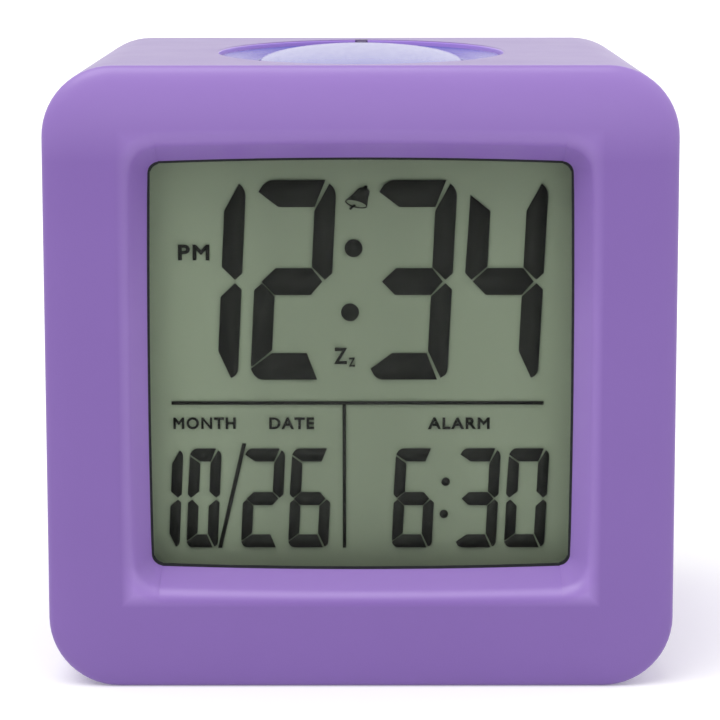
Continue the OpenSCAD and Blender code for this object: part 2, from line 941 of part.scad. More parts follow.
module alarm_switch_knob() {
    x = key_x - slide_travel / 2;
    ribs = [-1.2, 0, 1.2];
    color("white")
        difference() {
            union() {
                block(x - knob_stem / 2, x + knob_stem / 2, slide_body_top - 1.8, cover_out_t,
                    slide_z - knob_stem / 2, slide_z + knob_stem / 2);
                block(x - knob_w / 2, x + knob_w / 2, cover_out_t - knob_floor + 0.2,
                    cover_out_t + knob_rise, slide_z - knob_h / 2, slide_z + knob_h / 2);
            }
            for (r = ribs)
                block(x + r - 0.25, x + r + 0.25, cover_out_t + knob_rise - 0.5,
                    cover_out_t + knob_rise + 1, slide_z - knob_h, slide_z + knob_h);
        }
}

// ---- Sounder ----

module sounder_holder() {
    color("whitesmoke")
        difference() {
            bar(sounder_x, sounder_z, disc_r + holder_wall, cover_t - holder_depth, cover_t);
            bar(sounder_x, sounder_z, disc_r + 0.1, cover_t - holder_depth + 1 , cover_t - 1.6);
            bar(sounder_x, sounder_z, disc_r - 1.2, cover_t - holder_depth - 1, cover_t + 1);
        }
}

disc_t = cover_t - 2.2;
module sounder_disc() {
    color("gold") {
        bar(sounder_x, sounder_z, disc_r, disc_t, disc_t + disc_thick);
        bar(sounder_x, sounder_z, ceramic_r, disc_t - ceramic_thick, disc_t);
    }
}

// ---- Batteries ----

cell_z = [tub_z + cell_pitch / 2, tub_z - cell_pitch / 2];
plus_x = tub_w / 2 - plate_thick;

// Cell along X with its positive end at plus_x on the side given by turn
module cell(z, side) {
    translate([side * plus_x, y_at(cell_t), z])
        rotate([0, -side * 90, 0]) {
            cylinder(r = nub_r, h = nub_l + 0.1);
            translate([0, 0, nub_l])
                cylinder(r = cell_r, h = cell_l - nub_l);
        }
}

module battery_cell_upper() {
    color("dimgray")
        cell(cell_z[0], 1);
}

module battery_cell_lower() {
    color("dimgray")
        cell(cell_z[1], -1);
}

module battery_springs() {
    length = tub_w - cell_l - 2 * plate_thick - 2 * spring_wire;
    color("silver")
        for (k = [0, 1]) {
            side = k == 0 ? -1 : 1;
            translate([side * (tub_w / 2 - plate_thick - spring_wire), y_at(cell_t), cell_z[k]])
                rotate([0, -side * 90, 0])
                    tube(coil(4, 2.2, length, 4), spring_wire);
        }
}

module battery_plates() {
    half = 2 * cell_r * 0.45;
    color("gainsboro")
        for (side = [-1, 1], z = cell_z)
            translate([side * (tub_w / 2 - plate_thick / 2), y_at(cell_t), z])
                cube([plate_thick, 2 * half, 2 * half], center = true);
}

// Door hinged along its lower edge, with a round pin at each end
module battery_door() {
    grip_h = 0.8;
    color("rebeccapurple")
        difference() {
            union() {
                between(door_t, cover_out_t)
                    translate([-door_w / 2, hinge_z])
                        square([door_w, door_high - hinge_z]);
                translate([-door_w / 2, y_at(hinge_t), hinge_z])
                    rotate([0, 90, 0])
                        cylinder(r = door_thick / 2, h = door_w);
                translate([-door_w / 2 - hinge_pin_l, y_at(hinge_t), hinge_z])
                    rotate([0, 90, 0])
                        cylinder(r = hinge_pin_r, h = door_w + 2 * hinge_pin_l);
            }
            for (i = [0:3])
                block(-6, 6, cover_out_t - 0.4, cover_out_t + 1,
                    door_high - 5 - 1.8 * i, door_high - 5 - 1.8 * i + grip_h);
        }
}

module battery_door_latch() {
    color("rebeccapurple")
        block(-latch_w / 2, latch_w / 2, cover_out_t - 1.5, cover_out_t - 1,
            door_high, door_high + door_gap + latch_hook);
}

// ---- Cables ----

cable_steps = 6;
ribbon_route = [[0, 0], [6, -4], [16, -9], [28, -10], [36, -5], [42, 0]];
module ribbon_cable() {
    t0 = board_back_t + connector_d;
    span = key_board_t - t0;
    path = smooth([for (p = ribbon_route) [p[0] / 42 * span, p[1]]], cable_steps);
    edge = [for (p = path) [p[0] + t0, p[1] + key_z]];
    color("lightgray")
        translate([key_x - ribbon_w / 2, 0, 0])
            rotate([90, 0, 90])
                linear_extrude(ribbon_w)
                    polygon(concat(
                        [for (p = edge) [y_at(p[0]), p[1] + ribbon_thick / 2]],
                        [for (i = [len(edge) - 1:-1:0]) [y_at(edge[i][0]), edge[i][1] - ribbon_thick / 2]]
                    ));
}

module wire(route) {
    tube(smooth(placed(route), cable_steps), wire_r, [1, 0, 0]);
}

module snooze_cable() {
    z = window_z + 22;
    color("yellow")
        wire([
            [0, board_back_t + connector_d + solder, z],
            [0, board_back_t + connector_d + 4, z],
            [3, board_back_t + connector_d + 9, z - 3],
            [8, recess_t - 3, snooze_board_z - 7],
            [10, recess_t, snooze_board_z - 4],
            [10, recess_t, snooze_board_z - solder]
        ]);
}

module lead(side, tint) {
    z = cell_z[0];
    color(tint)
        wire([
            [side * (tub_w / 2 + tub_wall + 0.7), cell_t, z + 5],
            [side * (tub_w / 2 + tub_wall + 0.9), cell_t - 4, z + 7],
            [side * (tub_w / 2 + 1), tub_t - 8, z + 6],
            [side * lead_x, 34, z + 2],
            [side * lead_x, 24, z - 4],
            [side * lead_x, board_back_t + 3, z - 6],
            [side * lead_x, board_back_t + solder, z - 6]
        ]);
}

module positive_lead() {
    lead(1, "red");
}

module negative_lead() {
    lead(-1, "black");
}

module sounder_leads() {
    color("orange")
        for (i = [0, 1])
            wire([
                [sounder_x - 5 + 3 * i, disc_t - ceramic_thick - solder, sounder_z],
                [sounder_x - 5 + 3 * i, disc_t - 2, sounder_z],
                [sounder_x - 3 + 3 * i, disc_t - 10, sounder_z - 3],
                [sounder_x + 3 * i, 38, sounder_z - 7],
                [lead_x - 2 + 3 * i, 26, sounder_z - 10],
                [lead_x + 3 * i, board_back_t + 4, sounder_z - 10],
                [lead_x + 3 * i, board_back_t + solder, sounder_z - 10]
            ]);
}

sleeve();
front_case();
window_gasket();
lens();
lcd_front_polarizer();
lcd_front_glass();
lcd_rear_glass();
lcd_rear_polarizer();
lcd_frame();
contact_strips();
light_guide();
guide_reflector();
backlight_led();
main_board();
chip_cover();
quartz_crystal();
board_components();
board_screws();
snooze_surround();
snooze_button();
snooze_spring();
snooze_board();
snooze_switch();
snooze_board_screws();
rear_cover();
case_screws();
key_board();
key_switches();
key_board_screws();
set_button();
mode_button();
up_button();
down_button();
alarm_switch_body();
alarm_switch_knob();
sounder_holder();
sounder_disc();
battery_springs();
battery_plates();
battery_cell_upper();
battery_cell_lower();
battery_door();
battery_door_latch();
ribbon_cable();
snooze_cable();
positive_lead();
negative_lead();
sounder_leads();
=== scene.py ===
"""Cube alarm clock: the soft skin, display marks, snooze dome, rear panel and all finishes.

Everything is in metres in the frame's own axes: +X to the right seen from the front, +Y to the
rear, +Z up, with the origin on the resting surface under the middle of the clock.
"""

import json
import math

import bmesh
import bpy
from bpy.props import FloatProperty, FloatVectorProperty, PointerProperty
from mathutils import Matrix, Vector


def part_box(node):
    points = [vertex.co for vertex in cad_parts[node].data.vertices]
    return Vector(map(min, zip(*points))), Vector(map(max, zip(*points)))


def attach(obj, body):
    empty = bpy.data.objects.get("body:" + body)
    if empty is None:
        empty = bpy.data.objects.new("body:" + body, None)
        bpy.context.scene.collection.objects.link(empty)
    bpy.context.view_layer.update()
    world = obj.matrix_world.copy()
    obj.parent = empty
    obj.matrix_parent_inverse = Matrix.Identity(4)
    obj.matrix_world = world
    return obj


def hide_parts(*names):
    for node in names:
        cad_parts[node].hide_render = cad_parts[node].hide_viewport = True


bl_info = {
    "name": "Cube Alarm Clock",
    "version": (1, 0, 0),
    "blender": (4, 5, 0),
    "location": "3D View > Sidebar > Clock",
    "description": "Builds the outer look of a cube alarm clock round its packed frame",
    "category": "Object",
}

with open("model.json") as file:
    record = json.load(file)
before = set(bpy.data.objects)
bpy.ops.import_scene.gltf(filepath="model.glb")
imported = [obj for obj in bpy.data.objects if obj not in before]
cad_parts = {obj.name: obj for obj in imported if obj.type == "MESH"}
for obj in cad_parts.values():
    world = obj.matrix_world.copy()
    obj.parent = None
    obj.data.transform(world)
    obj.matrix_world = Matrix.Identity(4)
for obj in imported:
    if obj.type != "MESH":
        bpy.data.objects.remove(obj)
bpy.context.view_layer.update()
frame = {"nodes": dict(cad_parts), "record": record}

MM = 0.001

# Steps along half a side and round one corner of a rounded outline, and round an oval
SIDE_STEPS = 8
CORNER_STEPS = 14
OVAL_STEPS = 160
# Edges that turn by more than this stay sharp
SHARP = math.radians(35)
# Edges that turn by more than this get an eased edge
EASED = math.radians(38)


def tint(code):
    """Linear colour of a six digit hexadecimal screen colour."""
    channels = [int(code[i:i + 2], 16) / 255 for i in (0, 2, 4)]
    return [c / 12.92 if c <= 0.04045 else ((c + 0.055) / 1.055) ** 2.4 for c in channels]


def length(name, description, millimetres):
    """A length property whose default is given in millimetres."""
    return FloatProperty(
        name=name,
        description=description,
        default=millimetres * MM,
        unit="LENGTH",
        subtype="DISTANCE",
    )


def colour(name, description, code):
    """A colour property whose default is a screen colour code."""
    return FloatVectorProperty(
        name=name,
        description=description,
        default=tint(code),
        size=3,
        min=0,
        max=1,
        subtype="COLOR",
    )


def number(name, description, value, subtype="NONE"):
    """A plain number property."""
    return FloatProperty(name=name, description=description, default=value, subtype=subtype)


# ---- Sizes and colours that a user would change ----


class SkinSettings(bpy.types.PropertyGroup):
    corner_radius: length("Corner radius", "Radius of the front outline's corners", 9)
    crown_width: length("Crown width", "Width of the crowned band round the front", 6)
    crown_depth: length("Crown depth", "How far the crowned band falls back", 1.6)
    wall: length("Wall", "Wall thickness of the soft skin", 2.6)
    window_width: length("Window width", "Width of the window at the lens", 54.4)
    window_height: length("Window height", "Height of the window at the lens", 53.2)
    window_middle: length("Window middle", "Height of the window's middle", 41.2)
    window_bow: length("Window bow", "Outward bow of the top and bottom edges", 0.5)
    window_corner: length("Window corner", "Corner radius of the window", 1.5)
    bezel_width: length("Bezel width", "Width of the sloping bezel", 2.6)
    bezel_depth: length("Bezel depth", "Depth of the sloping bezel", 4.5)
    bezel_lip: length("Bezel lip", "Reach of the soft edge between bezel and front", 1.5)
    rear_round: length("Rear rounding", "How far the rear edge is drawn in", 0.6)
    rear_lip_width: length("Rear lip width", "How far the rear lip reaches inwards", 1.8)
    rear_lip_depth: length("Rear lip depth", "Thickness of the rear lip", 1.6)
    rim_radius: length("Rim radius", "Rounding of the rim round the snooze recess", 0.3)
    tab_radius: length("Tab radius", "Radius of the half round locating tab", 0.85)
    base: colour("Skin", "Colour of the soft skin", "7b5ba6")
    # The pale colour is painted light: it lightens the bezel slopes, the top band of the front and
    # the recess rim where light falls on them.
    pale: colour("Skin, pale", "Colour of the skin where light comes through its edges", "997ac3")
    # Made much darker, the deep colour also gives the painted shadow on the locating tab.
    deep: colour("Skin shade", "Colour of the skin where its pigment is denser", "7656a0")


class SnoozeSettings(bpy.types.PropertyGroup):
    recess_width: length("Recess width", "Width of the oval recess", 38.4)
    recess_length: length("Recess length", "Length of the oval recess", 61)
    recess_middle: length("Recess middle", "Place of the recess's middle, to the rear", -1.5)
    button_width: length("Button width", "Width of the snooze button", 27.3)
    button_length: length("Button length", "Length of the snooze button", 57.7)
    button_edge: length("Edge height", "Height of the button's edge", 78.35)
    button_rim: length("Rim height", "Height of the bottom of the button's skirt", 76.4)
    ceiling: length("Ceiling height", "Height of the hollow under the button", 77.6)
    plunger_radius: length("Plunger radius", "Radius of the plunger", 2.5)
    gap: length("Gap", "Gap round the button", 0.4)
    outer_level: length("Dish rim level", "Height of the dish at its outer edge", 78.9)
    inner_level: length("Dish floor level", "Height of the dish beside the button", 78.2)
    base: colour("Button", "Colour of the tinted snooze button", "6460b4")


class DisplaySettings(bpy.types.PropertyGroup):
    time_bottom: length("Time baseline", "Height of the bottom of the main digits", 38.62)
    time_height: length("Time height", "Height of the main digits", 25.86)
    time_width: length("Time width", "Width of a main digit", 9.95)
    small_bottom: length("Small baseline", "Height of the bottom of the small digits", 16.48)
    small_height: length("Small height", "Height of the small digits", 13.09)
    small_width: length("Small width", "Width of a small digit", 5.22)
    mark_thickness: length("Mark thickness", "Thickness of a display mark", 0.05)
    slant: number("Slant", "Sideways lean of the digits for each unit of height", 0.0489)
    backing: colour("Backing", "Colour of the display behind its marks", "7b8871")
    ink: colour("Ink", "Colour of the display's dark marks", "141811")


class RearSettings(bpy.types.PropertyGroup):
    edge_ease: length("Edge easing", "Rounding of the edges of the rear mouldings", 0.18)
    key_radius: length("Key radius", "Radius of a round key", 3.6)
    key_dish: length("Key dish", "Depth of the dish in a key's face", 0.25)
    panel: colour("Rear panel", "Colour of the rear panel and battery lid", "6d4f93")
    key: colour("Keys", "Colour of the rear keys", "c9c2da")


class StageSettings(bpy.types.PropertyGroup):
    lens: number("Lens", "Focal length on a 36 mm wide sensor", 152.66)
    distance: length("Distance", "Distance of the camera in front of the front face", 380.5)
    height: length("Height", "Height of the camera", 101.74)
    pitch: number("Pitch", "Downward tilt of the camera", 0.1542, "ANGLE")
    floor_size: length("Floor size", "Side of the square floor", 12000)
    surroundings: number("Surroundings", "Strength of the even light from all round", 0.04)
    overhead: number("Overhead", "Strength added towards straight above", 0.42)
    flanks: number("Flanks", "Strength added towards both sides", 0.9)
    lopsided: number("Lopsided", "Strength moved from the left side to the right", 0.2)
    backdrop: number("Backdrop", "Strength added behind the clock", 1.0)
    key_light: number("Key light", "Strength of the soft key light", 1.65)
    key_spread: number("Key spread", "Angle that it fills", math.radians(50), "ANGLE")
    floor: colour("Floor", "Colour of the floor", "efefef")


# ---- Mesh helpers ----


def rounded_outline(half_w, half_h, radius, bow=0.0):
    """Outline points, anticlockwise from the right, of a rectangle whose corners are round.

    The top and bottom edges bow outwards by bow, and the sides by half of it.
    """
    side = bow / 2
    quarter = []
    for i in range(SIDE_STEPS):
        z = (half_h - radius) * i / SIDE_STEPS
        quarter.append((half_w - side * (z / half_h) ** 2, z))
    for i in range(CORNER_STEPS):
        a = math.pi / 2 * i / CORNER_STEPS
        x = half_w - side - radius + radius * math.cos(a)
        quarter.append((x, half_h - bow - radius + radius * math.sin(a)))
    for i in range(SIDE_STEPS, -1, -1):
        x = (half_w - radius) * i / SIDE_STEPS
        quarter.append((x, half_h - bow * (x / half_w) ** 2))
    back = quarter[::-1]
    return (
        quarter[:-1]
        + [(-x, z) for x, z in back[:-1]]
        + [(-x, -z) for x, z in quarter[:-1]]
        + [(x, -z) for x, z in back[:-1]]
    )


def oval_ring(width, long, middle, level):
    """Points of a level oval whose middle is at y = middle."""
    ring = []
    for i in range(OVAL_STEPS):
        a = math.tau * i / OVAL_STEPS
        ring.append(Vector((width / 2 * math.cos(a), middle + long / 2 * math.sin(a), level)))
    return ring


def loft(bm, rings, closed=False, caps=(False, False)):
    """Draws a first ring and extrudes its edges from ring to ring.

    A closed loft runs back into its first ring. caps fill the first and the last ring.
    """
    count = len(rings[0])
    circle = bmesh.ops.create_circle(bm, segments=count, radius=1.0)["verts"]
    spot = {v: i for i, v in enumerate(circle)}
    for v, i in spot.items():
        v.co = rings[0][i]
    edges = [e for e in bm.edges if e.verts[0] in spot and e.verts[1] in spot]
    if caps[0]:
        bmesh.ops.contextual_create(bm, geom=edges)
    for ring in rings[1:] + ([rings[0]] if closed else []):
        made = bmesh.ops.extrude_edge_only(bm, edges=edges)["geom"]
        fresh = {}
        for v in made:
            if isinstance(v, bmesh.types.BMVert):
                old = next(e.other_vert(v) for e in v.link_edges if e.other_vert(v) in spot)
                fresh[v] = spot[old]
        for v, i in fresh.items():
            v.co = ring[i]
        edges = [e for e in made if isinstance(e, bmesh.types.BMEdge)]
        spot = fresh
    if caps[1]:
        bmesh.ops.contextual_create(bm, geom=edges)


def finish_mesh(bm, name, merge=1e-7, recalculate=True):
    """Merges doubles, points the faces outwards and returns the mesh as a new object."""
    bmesh.ops.remove_doubles(bm, verts=bm.verts, dist=merge)
    if recalculate:
        bmesh.ops.recalc_face_normals(bm, faces=bm.faces)
    for face in bm.faces:
        face.smooth = True
    mesh = bpy.data.meshes.new(name)
    bm.to_mesh(mesh)
    bm.free()
    piece = bpy.data.objects.new(name, mesh)
    bpy.context.scene.collection.objects.link(piece)
    return piece


def even_shading(piece):
    """Lets large flat faces rule the shading of the small rounded ones beside them."""
    modifier = piece.modifiers.new("Even shading", "WEIGHTED_NORMAL")
    modifier.keep_sharp = True
    modifier.weight = 50


def shade(piece, merge=1e-7):
    """Smooths a piece but for its sharp edges, after merging doubles that a cut has left."""
    bm = bmesh.new()
    bm.from_mesh(piece.data)
    bmesh.ops.remove_doubles(bm, verts=bm.verts, dist=merge)
    for edge in bm.edges:
        edge.smooth = edge.calc_face_angle(0.0) < SHARP
    for face in bm.faces:
        face.smooth = True
    bm.to_mesh(piece.data)
    bm.free()
    even_shading(piece)
    return piece


def apply_modifiers(piece):
    """Replaces a piece's mesh by what its modifiers make of it."""
    graph = bpy.context.evaluated_depsgraph_get()
    mesh = bpy.data.meshes.new_from_object(piece.evaluated_get(graph))
    piece.modifiers.clear()
    piece.data = mesh


def combine(piece, other, operation):
    """Cuts other out of piece, or joins it on, and drops other."""
    modifier = piece.modifiers.new("Combine", "BOOLEAN")
    modifier.operation = operation
    modifier.solver = "EXACT"
    modifier.object = other
    apply_modifiers(piece)
    bpy.data.objects.remove(other)


def turned(name, profile, centre, axis, steps=64):
    """Spins a profile of (distance from the axis, place along it) into a closed round piece."""
    bm = bmesh.new()
    along = Vector(axis)
    across = along.orthogonal().normalized()
    verts = [bm.verts.new(Vector(centre) + across * r + along * d) for r, d in profile]
    edges = [bm.edges.new(pair) for pair in zip(verts, verts[1:])]
    bmesh.ops.spin(
        bm,
        geom=verts + edges,
        cent=centre,
        axis=axis,
        angle=math.tau,
        steps=steps,
        use_merge=True,
    )
    return finish_mesh(bm, name, merge=1e-6)


def plates(name, outlines, depth, thickness, facing=-1):
    """Thin plates from outlines drawn in x and z, with their faces at y = depth.

    facing is -1 for plates that face the front and 1 for plates that face the rear.
    """
    bm = bmesh.new()
    for outline in outlines:
        bm.faces.new([bm.verts.new((x, depth, z)) for x, z in outline])
    thicken(bm, thickness, facing)
    return finish_mesh(bm, name)


def thicken(bm, thickness, facing):
    """Gives flat faces a thickness on the side away from where they face."""
    made = bmesh.ops.extrude_face_region(bm, geom=bm.faces[:], use_keep_orig=True)["geom"]
    moved = [v for v in made if isinstance(v, bmesh.types.BMVert)]
    bmesh.ops.translate(bm, verts=moved, vec=(0, -facing * thickness, 0))


def eased_copy(node, name, width):
    """A copy of a frame node with its doubles merged and its edges rounded."""
    bm = bmesh.new()
    bm.from_mesh(frame["nodes"][node].data)
    bmesh.ops.remove_doubles(bm, verts=bm.verts, dist=2e-6)
    bmesh.ops.dissolve_limit(
        bm, angle_limit=math.radians(1), verts=bm.verts, edges=bm.edges
    )
    piece = finish_mesh(bm, name, recalculate=False)
    bevel = piece.modifiers.new("Eased edges", "BEVEL")
    bevel.width = width
    bevel.segments = 2
    bevel.limit_method = "ANGLE"
    bevel.angle_limit = EASED
    bevel.miter_outer = "MITER_ARC"
    even_shading(piece)
    return piece


def lettering(body, left, bottom, width, height, weight, spacing):
    """Flat letters as a bmesh in x and z that fill the given box exactly."""
    curve = bpy.data.curves.new("Letters", "FONT")
    curve.body = body
    curve.space_character = spacing
    curve.resolution_u = 6
    holder = bpy.data.objects.new("Letters", curve)
    bpy.context.scene.collection.objects.link(holder)
    graph = bpy.context.evaluated_depsgraph_get()
    mesh = bpy.data.meshes.new_from_object(holder.evaluated_get(graph))
    bpy.data.objects.remove(holder)
    bpy.data.curves.remove(curve)
    bm = bmesh.new()
    bm.from_mesh(mesh)
    bpy.data.meshes.remove(mesh)
    bmesh.ops.remove_doubles(bm, verts=bm.verts, dist=1e-5)
    embolden(bm, weight)
    xs = [v.co.x for v in bm.verts]
    ys = [v.co.y for v in bm.verts]
    sx = width / (max(xs) - min(xs))
    sz = height / (max(ys) - min(ys))
    for v in bm.verts:
        v.co = (left + (v.co.x - min(xs)) * sx, 0, bottom + (v.co.y - min(ys)) * sz)
    return bm


def embolden(bm, weight):
    """Moves the outlines of flat letters outwards by weight, with mitred corners."""
    shifts = {}
    for edge in bm.edges:
        if not edge.is_boundary:
            continue
        start, end = (v.co for v in edge.verts)
        along = (end - start).normalized()
        out = Vector((along.y, -along.x, 0))
        if out.dot(edge.link_faces[0].calc_center_median() - start) > 0:
            out.negate()
        for v in edge.verts:
            shifts.setdefault(v, []).append(out)
    for v, outs in shifts.items():
        both = sum(outs, Vector())
        v.co += both * (2 * weight / max(both.length_squared, 1.2))


def words(name, rows, depth, thickness, facing=-1):
    """Raised words. A row is (text, left, bottom, width, height, weight, spacing).

    Seen from behind, left is still the side on which the word begins.
    """
    whole = bmesh.new()
    for row in rows:
        part = lettering(*row)
        if facing > 0:
            bmesh.ops.scale(part, vec=(-1, 1, 1), verts=part.verts)
            bmesh.ops.reverse_faces(part, faces=part.faces)
        bmesh.ops.translate(part, verts=part.verts, vec=(0, depth, 0))
        mesh = bpy.data.meshes.new("Row")
        part.to_mesh(mesh)
        part.free()
        whole.from_mesh(mesh)
        bpy.data.meshes.remove(mesh)
    thicken(whole, thickness, facing)
    return finish_mesh(whole, name)


def dress(piece, body, slot, material, *replaced):
    """Gives a new piece its body and its material, and hides the nodes it stands for. The slot
    argument is not used.
    """
    piece.data.materials.clear()
    piece.data.materials.append(material)
    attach(piece, body)
    if replaced:
        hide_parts(*replaced)


# ---- Shader helpers ----


class Signal:
    """A shader socket that can be used in Python expressions."""

    def __init__(self, finish, socket):
        self.finish = finish
        self.socket = socket

    def math(self, operation, *others):
        """This signal and others through a Math node."""
        values = dict(enumerate((self,) + others))
        node = self.finish.node("ShaderNodeMath", {"operation": operation}, values)
        return Signal(self.finish, node.outputs[0])

    def reflected(self, operation, other):
        """A plain number and then this signal through a Math node."""
        node = self.finish.node("ShaderNodeMath", {"operation": operation}, {0: other, 1: self})
        return Signal(self.finish, node.outputs[0])

    def __add__(self, other):
        return self.math("ADD", other)

    def __mul__(self, other):
        return self.math("MULTIPLY", other)

    def __sub__(self, other):
        return self.math("SUBTRACT", other)

    def __truediv__(self, other):
        return self.math("DIVIDE", other)

    def __gt__(self, other):
        return self.math("GREATER_THAN", other)

    def __lt__(self, other):
        return self.math("LESS_THAN", other)

    def __rsub__(self, other):
        return self.reflected("SUBTRACT", other)

    __radd__ = __add__
    __rmul__ = __mul__


class Finish:
    """The nodes of a material, which is made here from its name, or of the world."""

    def __init__(self, owner, output="ShaderNodeOutputMaterial", place="Object"):
        self.owner = bpy.data.materials.new(owner) if isinstance(owner, str) else owner
        self.owner.use_nodes = True
        self.tree = self.owner.node_tree
        self.tree.nodes.clear()
        self.output = self.tree.nodes.new(output)
        self.place = self.out("ShaderNodeTexCoord", place)

    def node(self, kind, settings=None, values=None):
        """Adds a node, sets its settings, then gives its sockets values or links."""
        node = self.tree.nodes.new(kind)
        for key, value in (settings or {}).items():
            if key == "stops":
                ramp = node.color_ramp
                while len(ramp.elements) < len(value):
                    ramp.elements.new(0.5)
                for element, (position, shade) in zip(ramp.elements, value):
                    element.position = position
                    element.color = shade
            else:
                setattr(node, key, value)
        for key, value in (values or {}).items():
            if isinstance(value, Signal):
                self.tree.links.new(value.socket, node.inputs[key])
            else:
                node.inputs[key].default_value = value
        return node

    def out(self, kind, output, settings=None, values=None):
        """Adds a node and gives one of its outputs as a signal."""
        return Signal(self, self.node(kind, settings, values).outputs[output])

    def stretched(self, scale):
        """Object coordinates stretched along each axis."""
        return self.out("ShaderNodeMapping", 0, None, {"Vector": self.place, "Scale": scale})

    def noise(self, scale, detail=3.0, roughness=0.5, stretch=None):
        """Cloudy pattern from 0 to 1; scale is in features to the metre."""
        place = self.stretched(stretch) if stretch else self.place
        values = {"Vector": place, "Scale": scale, "Detail": detail, "Roughness": roughness}
        return self.out("ShaderNodeTexNoise", "Fac", None, values)

    def cells(self, scale):
        """Distance to the nearest cell's middle; scale is in cells to the metre."""
        values = {"Vector": self.place, "Scale": scale}
        return self.out("ShaderNodeTexVoronoi", "Distance", None, values)

    def axes(self):
        """The three object coordinates, in metres."""
        node = self.node("ShaderNodeSeparateXYZ", None, {"Vector": self.place})
        return [Signal(self, node.outputs[i]) for i in range(3)]

    def ramp(self, signal, stops):
        """Grey value of a signal through a ramp of (position, value) stops."""
        shades = [(p, (v, v, v, 1)) for p, v in stops]
        return self.out("ShaderNodeValToRGB", "Color", {"stops": shades}, {"Fac": signal})

    def blend(self, factor, first, second, mode="MIX"):
        """Mixes two colours."""
        settings = {"data_type": "RGBA", "blend_type": mode}
        values = {0: factor, 6: rgba(first), 7: rgba(second)}
        return self.out("ShaderNodeMix", 2, settings, values)

    def relief(self, height, depth, strength=1.0, under=None):
        """Normal of a surface whose height changes by depth."""
        values = {"Height": height, "Distance": depth, "Strength": strength}
        if under is not None:
            values["Normal"] = under
        return self.out("ShaderNodeBump", "Normal", None, values)

    def surface(self, base, roughness, normal=None, metallic=0.0, **constants):
        """Ends the material in one Principled shader."""
        values = {"Base Color": rgba(base), "Roughness": roughness, "Metallic": metallic}
        if normal is not None:
            values["Normal"] = normal
        for key, value in constants.items():
            values[key.replace("_", " ").title().replace("Ior", "IOR")] = value
        shader = self.node("ShaderNodeBsdfPrincipled", None, values)
        self.tree.links.new(shader.outputs[0], self.output.inputs["Surface"])
        return self.owner


def rgba(value):
    """A colour with its fourth number, or a signal as it is."""
    if isinstance(value, Signal):
        return value
    return (value[0], value[1], value[2], 1.0)


def darker(base, factor):
    """A colour made darker, or lighter with a factor above 1."""
    return [min(1.0, c * factor) for c in base]


# ---- Finishes ----


def skin_finish(s, z):
    """Soft silicone: pigment in clouds, a fine matt grain, painted light that makes bezel, crown
    and rim paler, and a painted shadow that darkens the locating tab.
    """
    low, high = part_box("sleeve")
    f = Finish("Soft skin")
    clouds = f.noise(38, 3, 0.55)
    grain = f.noise(5200, 2, 0.6)
    handled = f.noise(120, 4, 0.6)
    x, y, up = f.axes()
    wide = x.math("ABSOLUTE")
    above = up - s.window_middle
    edge = s.window_width / 2 + s.bezel_width
    reach = wide.math("MAXIMUM", above.math("ABSOLUTE"))
    # Painted light: the bezel slopes round the window get the pale colour, fully up to just above
    # the window's middle and fading to about a third on the top slope.
    bezel = f.ramp((edge - reach) / (4 * MM) + 0.5, [(0.3, 0.0), (0.7, 1.0)])
    bezel = bezel * f.ramp(above / (60 * MM) + 0.5, [(0.6, 1.0), (0.95, 0.35)])
    # Painted light: the top band of the crowned front, within 12 mm of the top edge, gets the pale
    # colour for the light that falls on it from above.
    upper = f.ramp((high.z - up) / (12 * MM), [(0.1, 1.0), (1.0, 0.0)])
    crown = upper * f.ramp((y - low.y) / (4 * MM), [(0.35, 1.0), (0.6, 0.0)])
    # Painted light: a paler colour on the recess wall just under its rim, for the light that falls
    # on it.
    inside = (wide < z.recess_width / 2 + MM) * (y > low.y + 3 * MM) * (y < high.y - 2 * MM)
    rim = inside * (up < high.z - 0.12 * MM) * (up > high.z - 3 * MM)
    # Painted shadow: the locating tab at the rear of the recess is coloured a much darker purple
    # for the shade under it.
    end = z.recess_middle + z.recess_length / 2
    tab = (wide < s.tab_radius + 0.05 * MM) * ((y - end).math("ABSOLUTE") < 1.1 * MM)
    body = f.blend(clouds, s.base, s.deep)
    body = f.blend((grain - 0.5) * 0.10 + 0.05, body, darker(s.base, 1.25))
    # Painted light: pale colour on the bezel slopes.
    body = f.blend(bezel, body, s.pale)
    # Painted light: pale colour on the top band of the front.
    body = f.blend(crown, body, s.pale)
    # Painted light: paler still on the recess wall under the rim.
    body = f.blend(rim, body, darker(s.pale, 1.5))
    # Painted shadow: dark colour on the locating tab.
    body = f.blend(tab, body, darker(s.deep, 0.4))
    waves = f.relief(f.noise(55, 1, 0.4), 0.00035, 0.18)
    normal = f.relief(grain, 0.00003, 0.35, waves)
    roughness = 0.26 + handled * 0.10 + grain * 0.05
    return f.surface(
        body,
        roughness,
        normal,
        sheen_weight=0.1,
        sheen_roughness=0.4,
        specular_ior_level=0.5,
    )


def moulded_finish(name, base, roughness=0.42, grain_scale=2600, relief=0.00003):
    """Moulded plastic: spark-eroded grain, slight flow clouds and shinier worn spots."""
    f = Finish(name)
    clouds = f.noise(60, 3, 0.5)
    grain = f.noise(grain_scale, 2, 0.55)
    worn = f.noise(240, 5, 0.6)
    body = f.blend(clouds, darker(base, 0.94), darker(base, 1.07))
    body = f.blend(f.ramp(worn, [(0.58, 0.0), (0.78, 0.12)]), body, darker(base, 1.5))
    normal = f.relief(grain, relief, 0.5)
    return f.surface(body, worn * 0.16 + (roughness - 0.08), normal)


def tinted_finish(base):
    """Polished translucent plastic with faint flow lines and fine scratches."""
    f = Finish("Blue tint plastic")
    flow = f.noise(45, 4, 0.55)
    scratches = f.noise(900, 4, 0.7, (1, 0.12, 1))
    body = f.blend(flow, darker(base, 0.96), darker(base, 1.04))
    normal = f.relief(f.noise(110, 1, 0.4), 0.00001, 0.1)
    return f.surface(
        body,
        f.ramp(scratches, [(0.35, 0.22), (0.75, 0.27)]),
        normal,
        coat_weight=0.3,
        coat_roughness=0.08,
        specular_ior_level=0.15,
    )


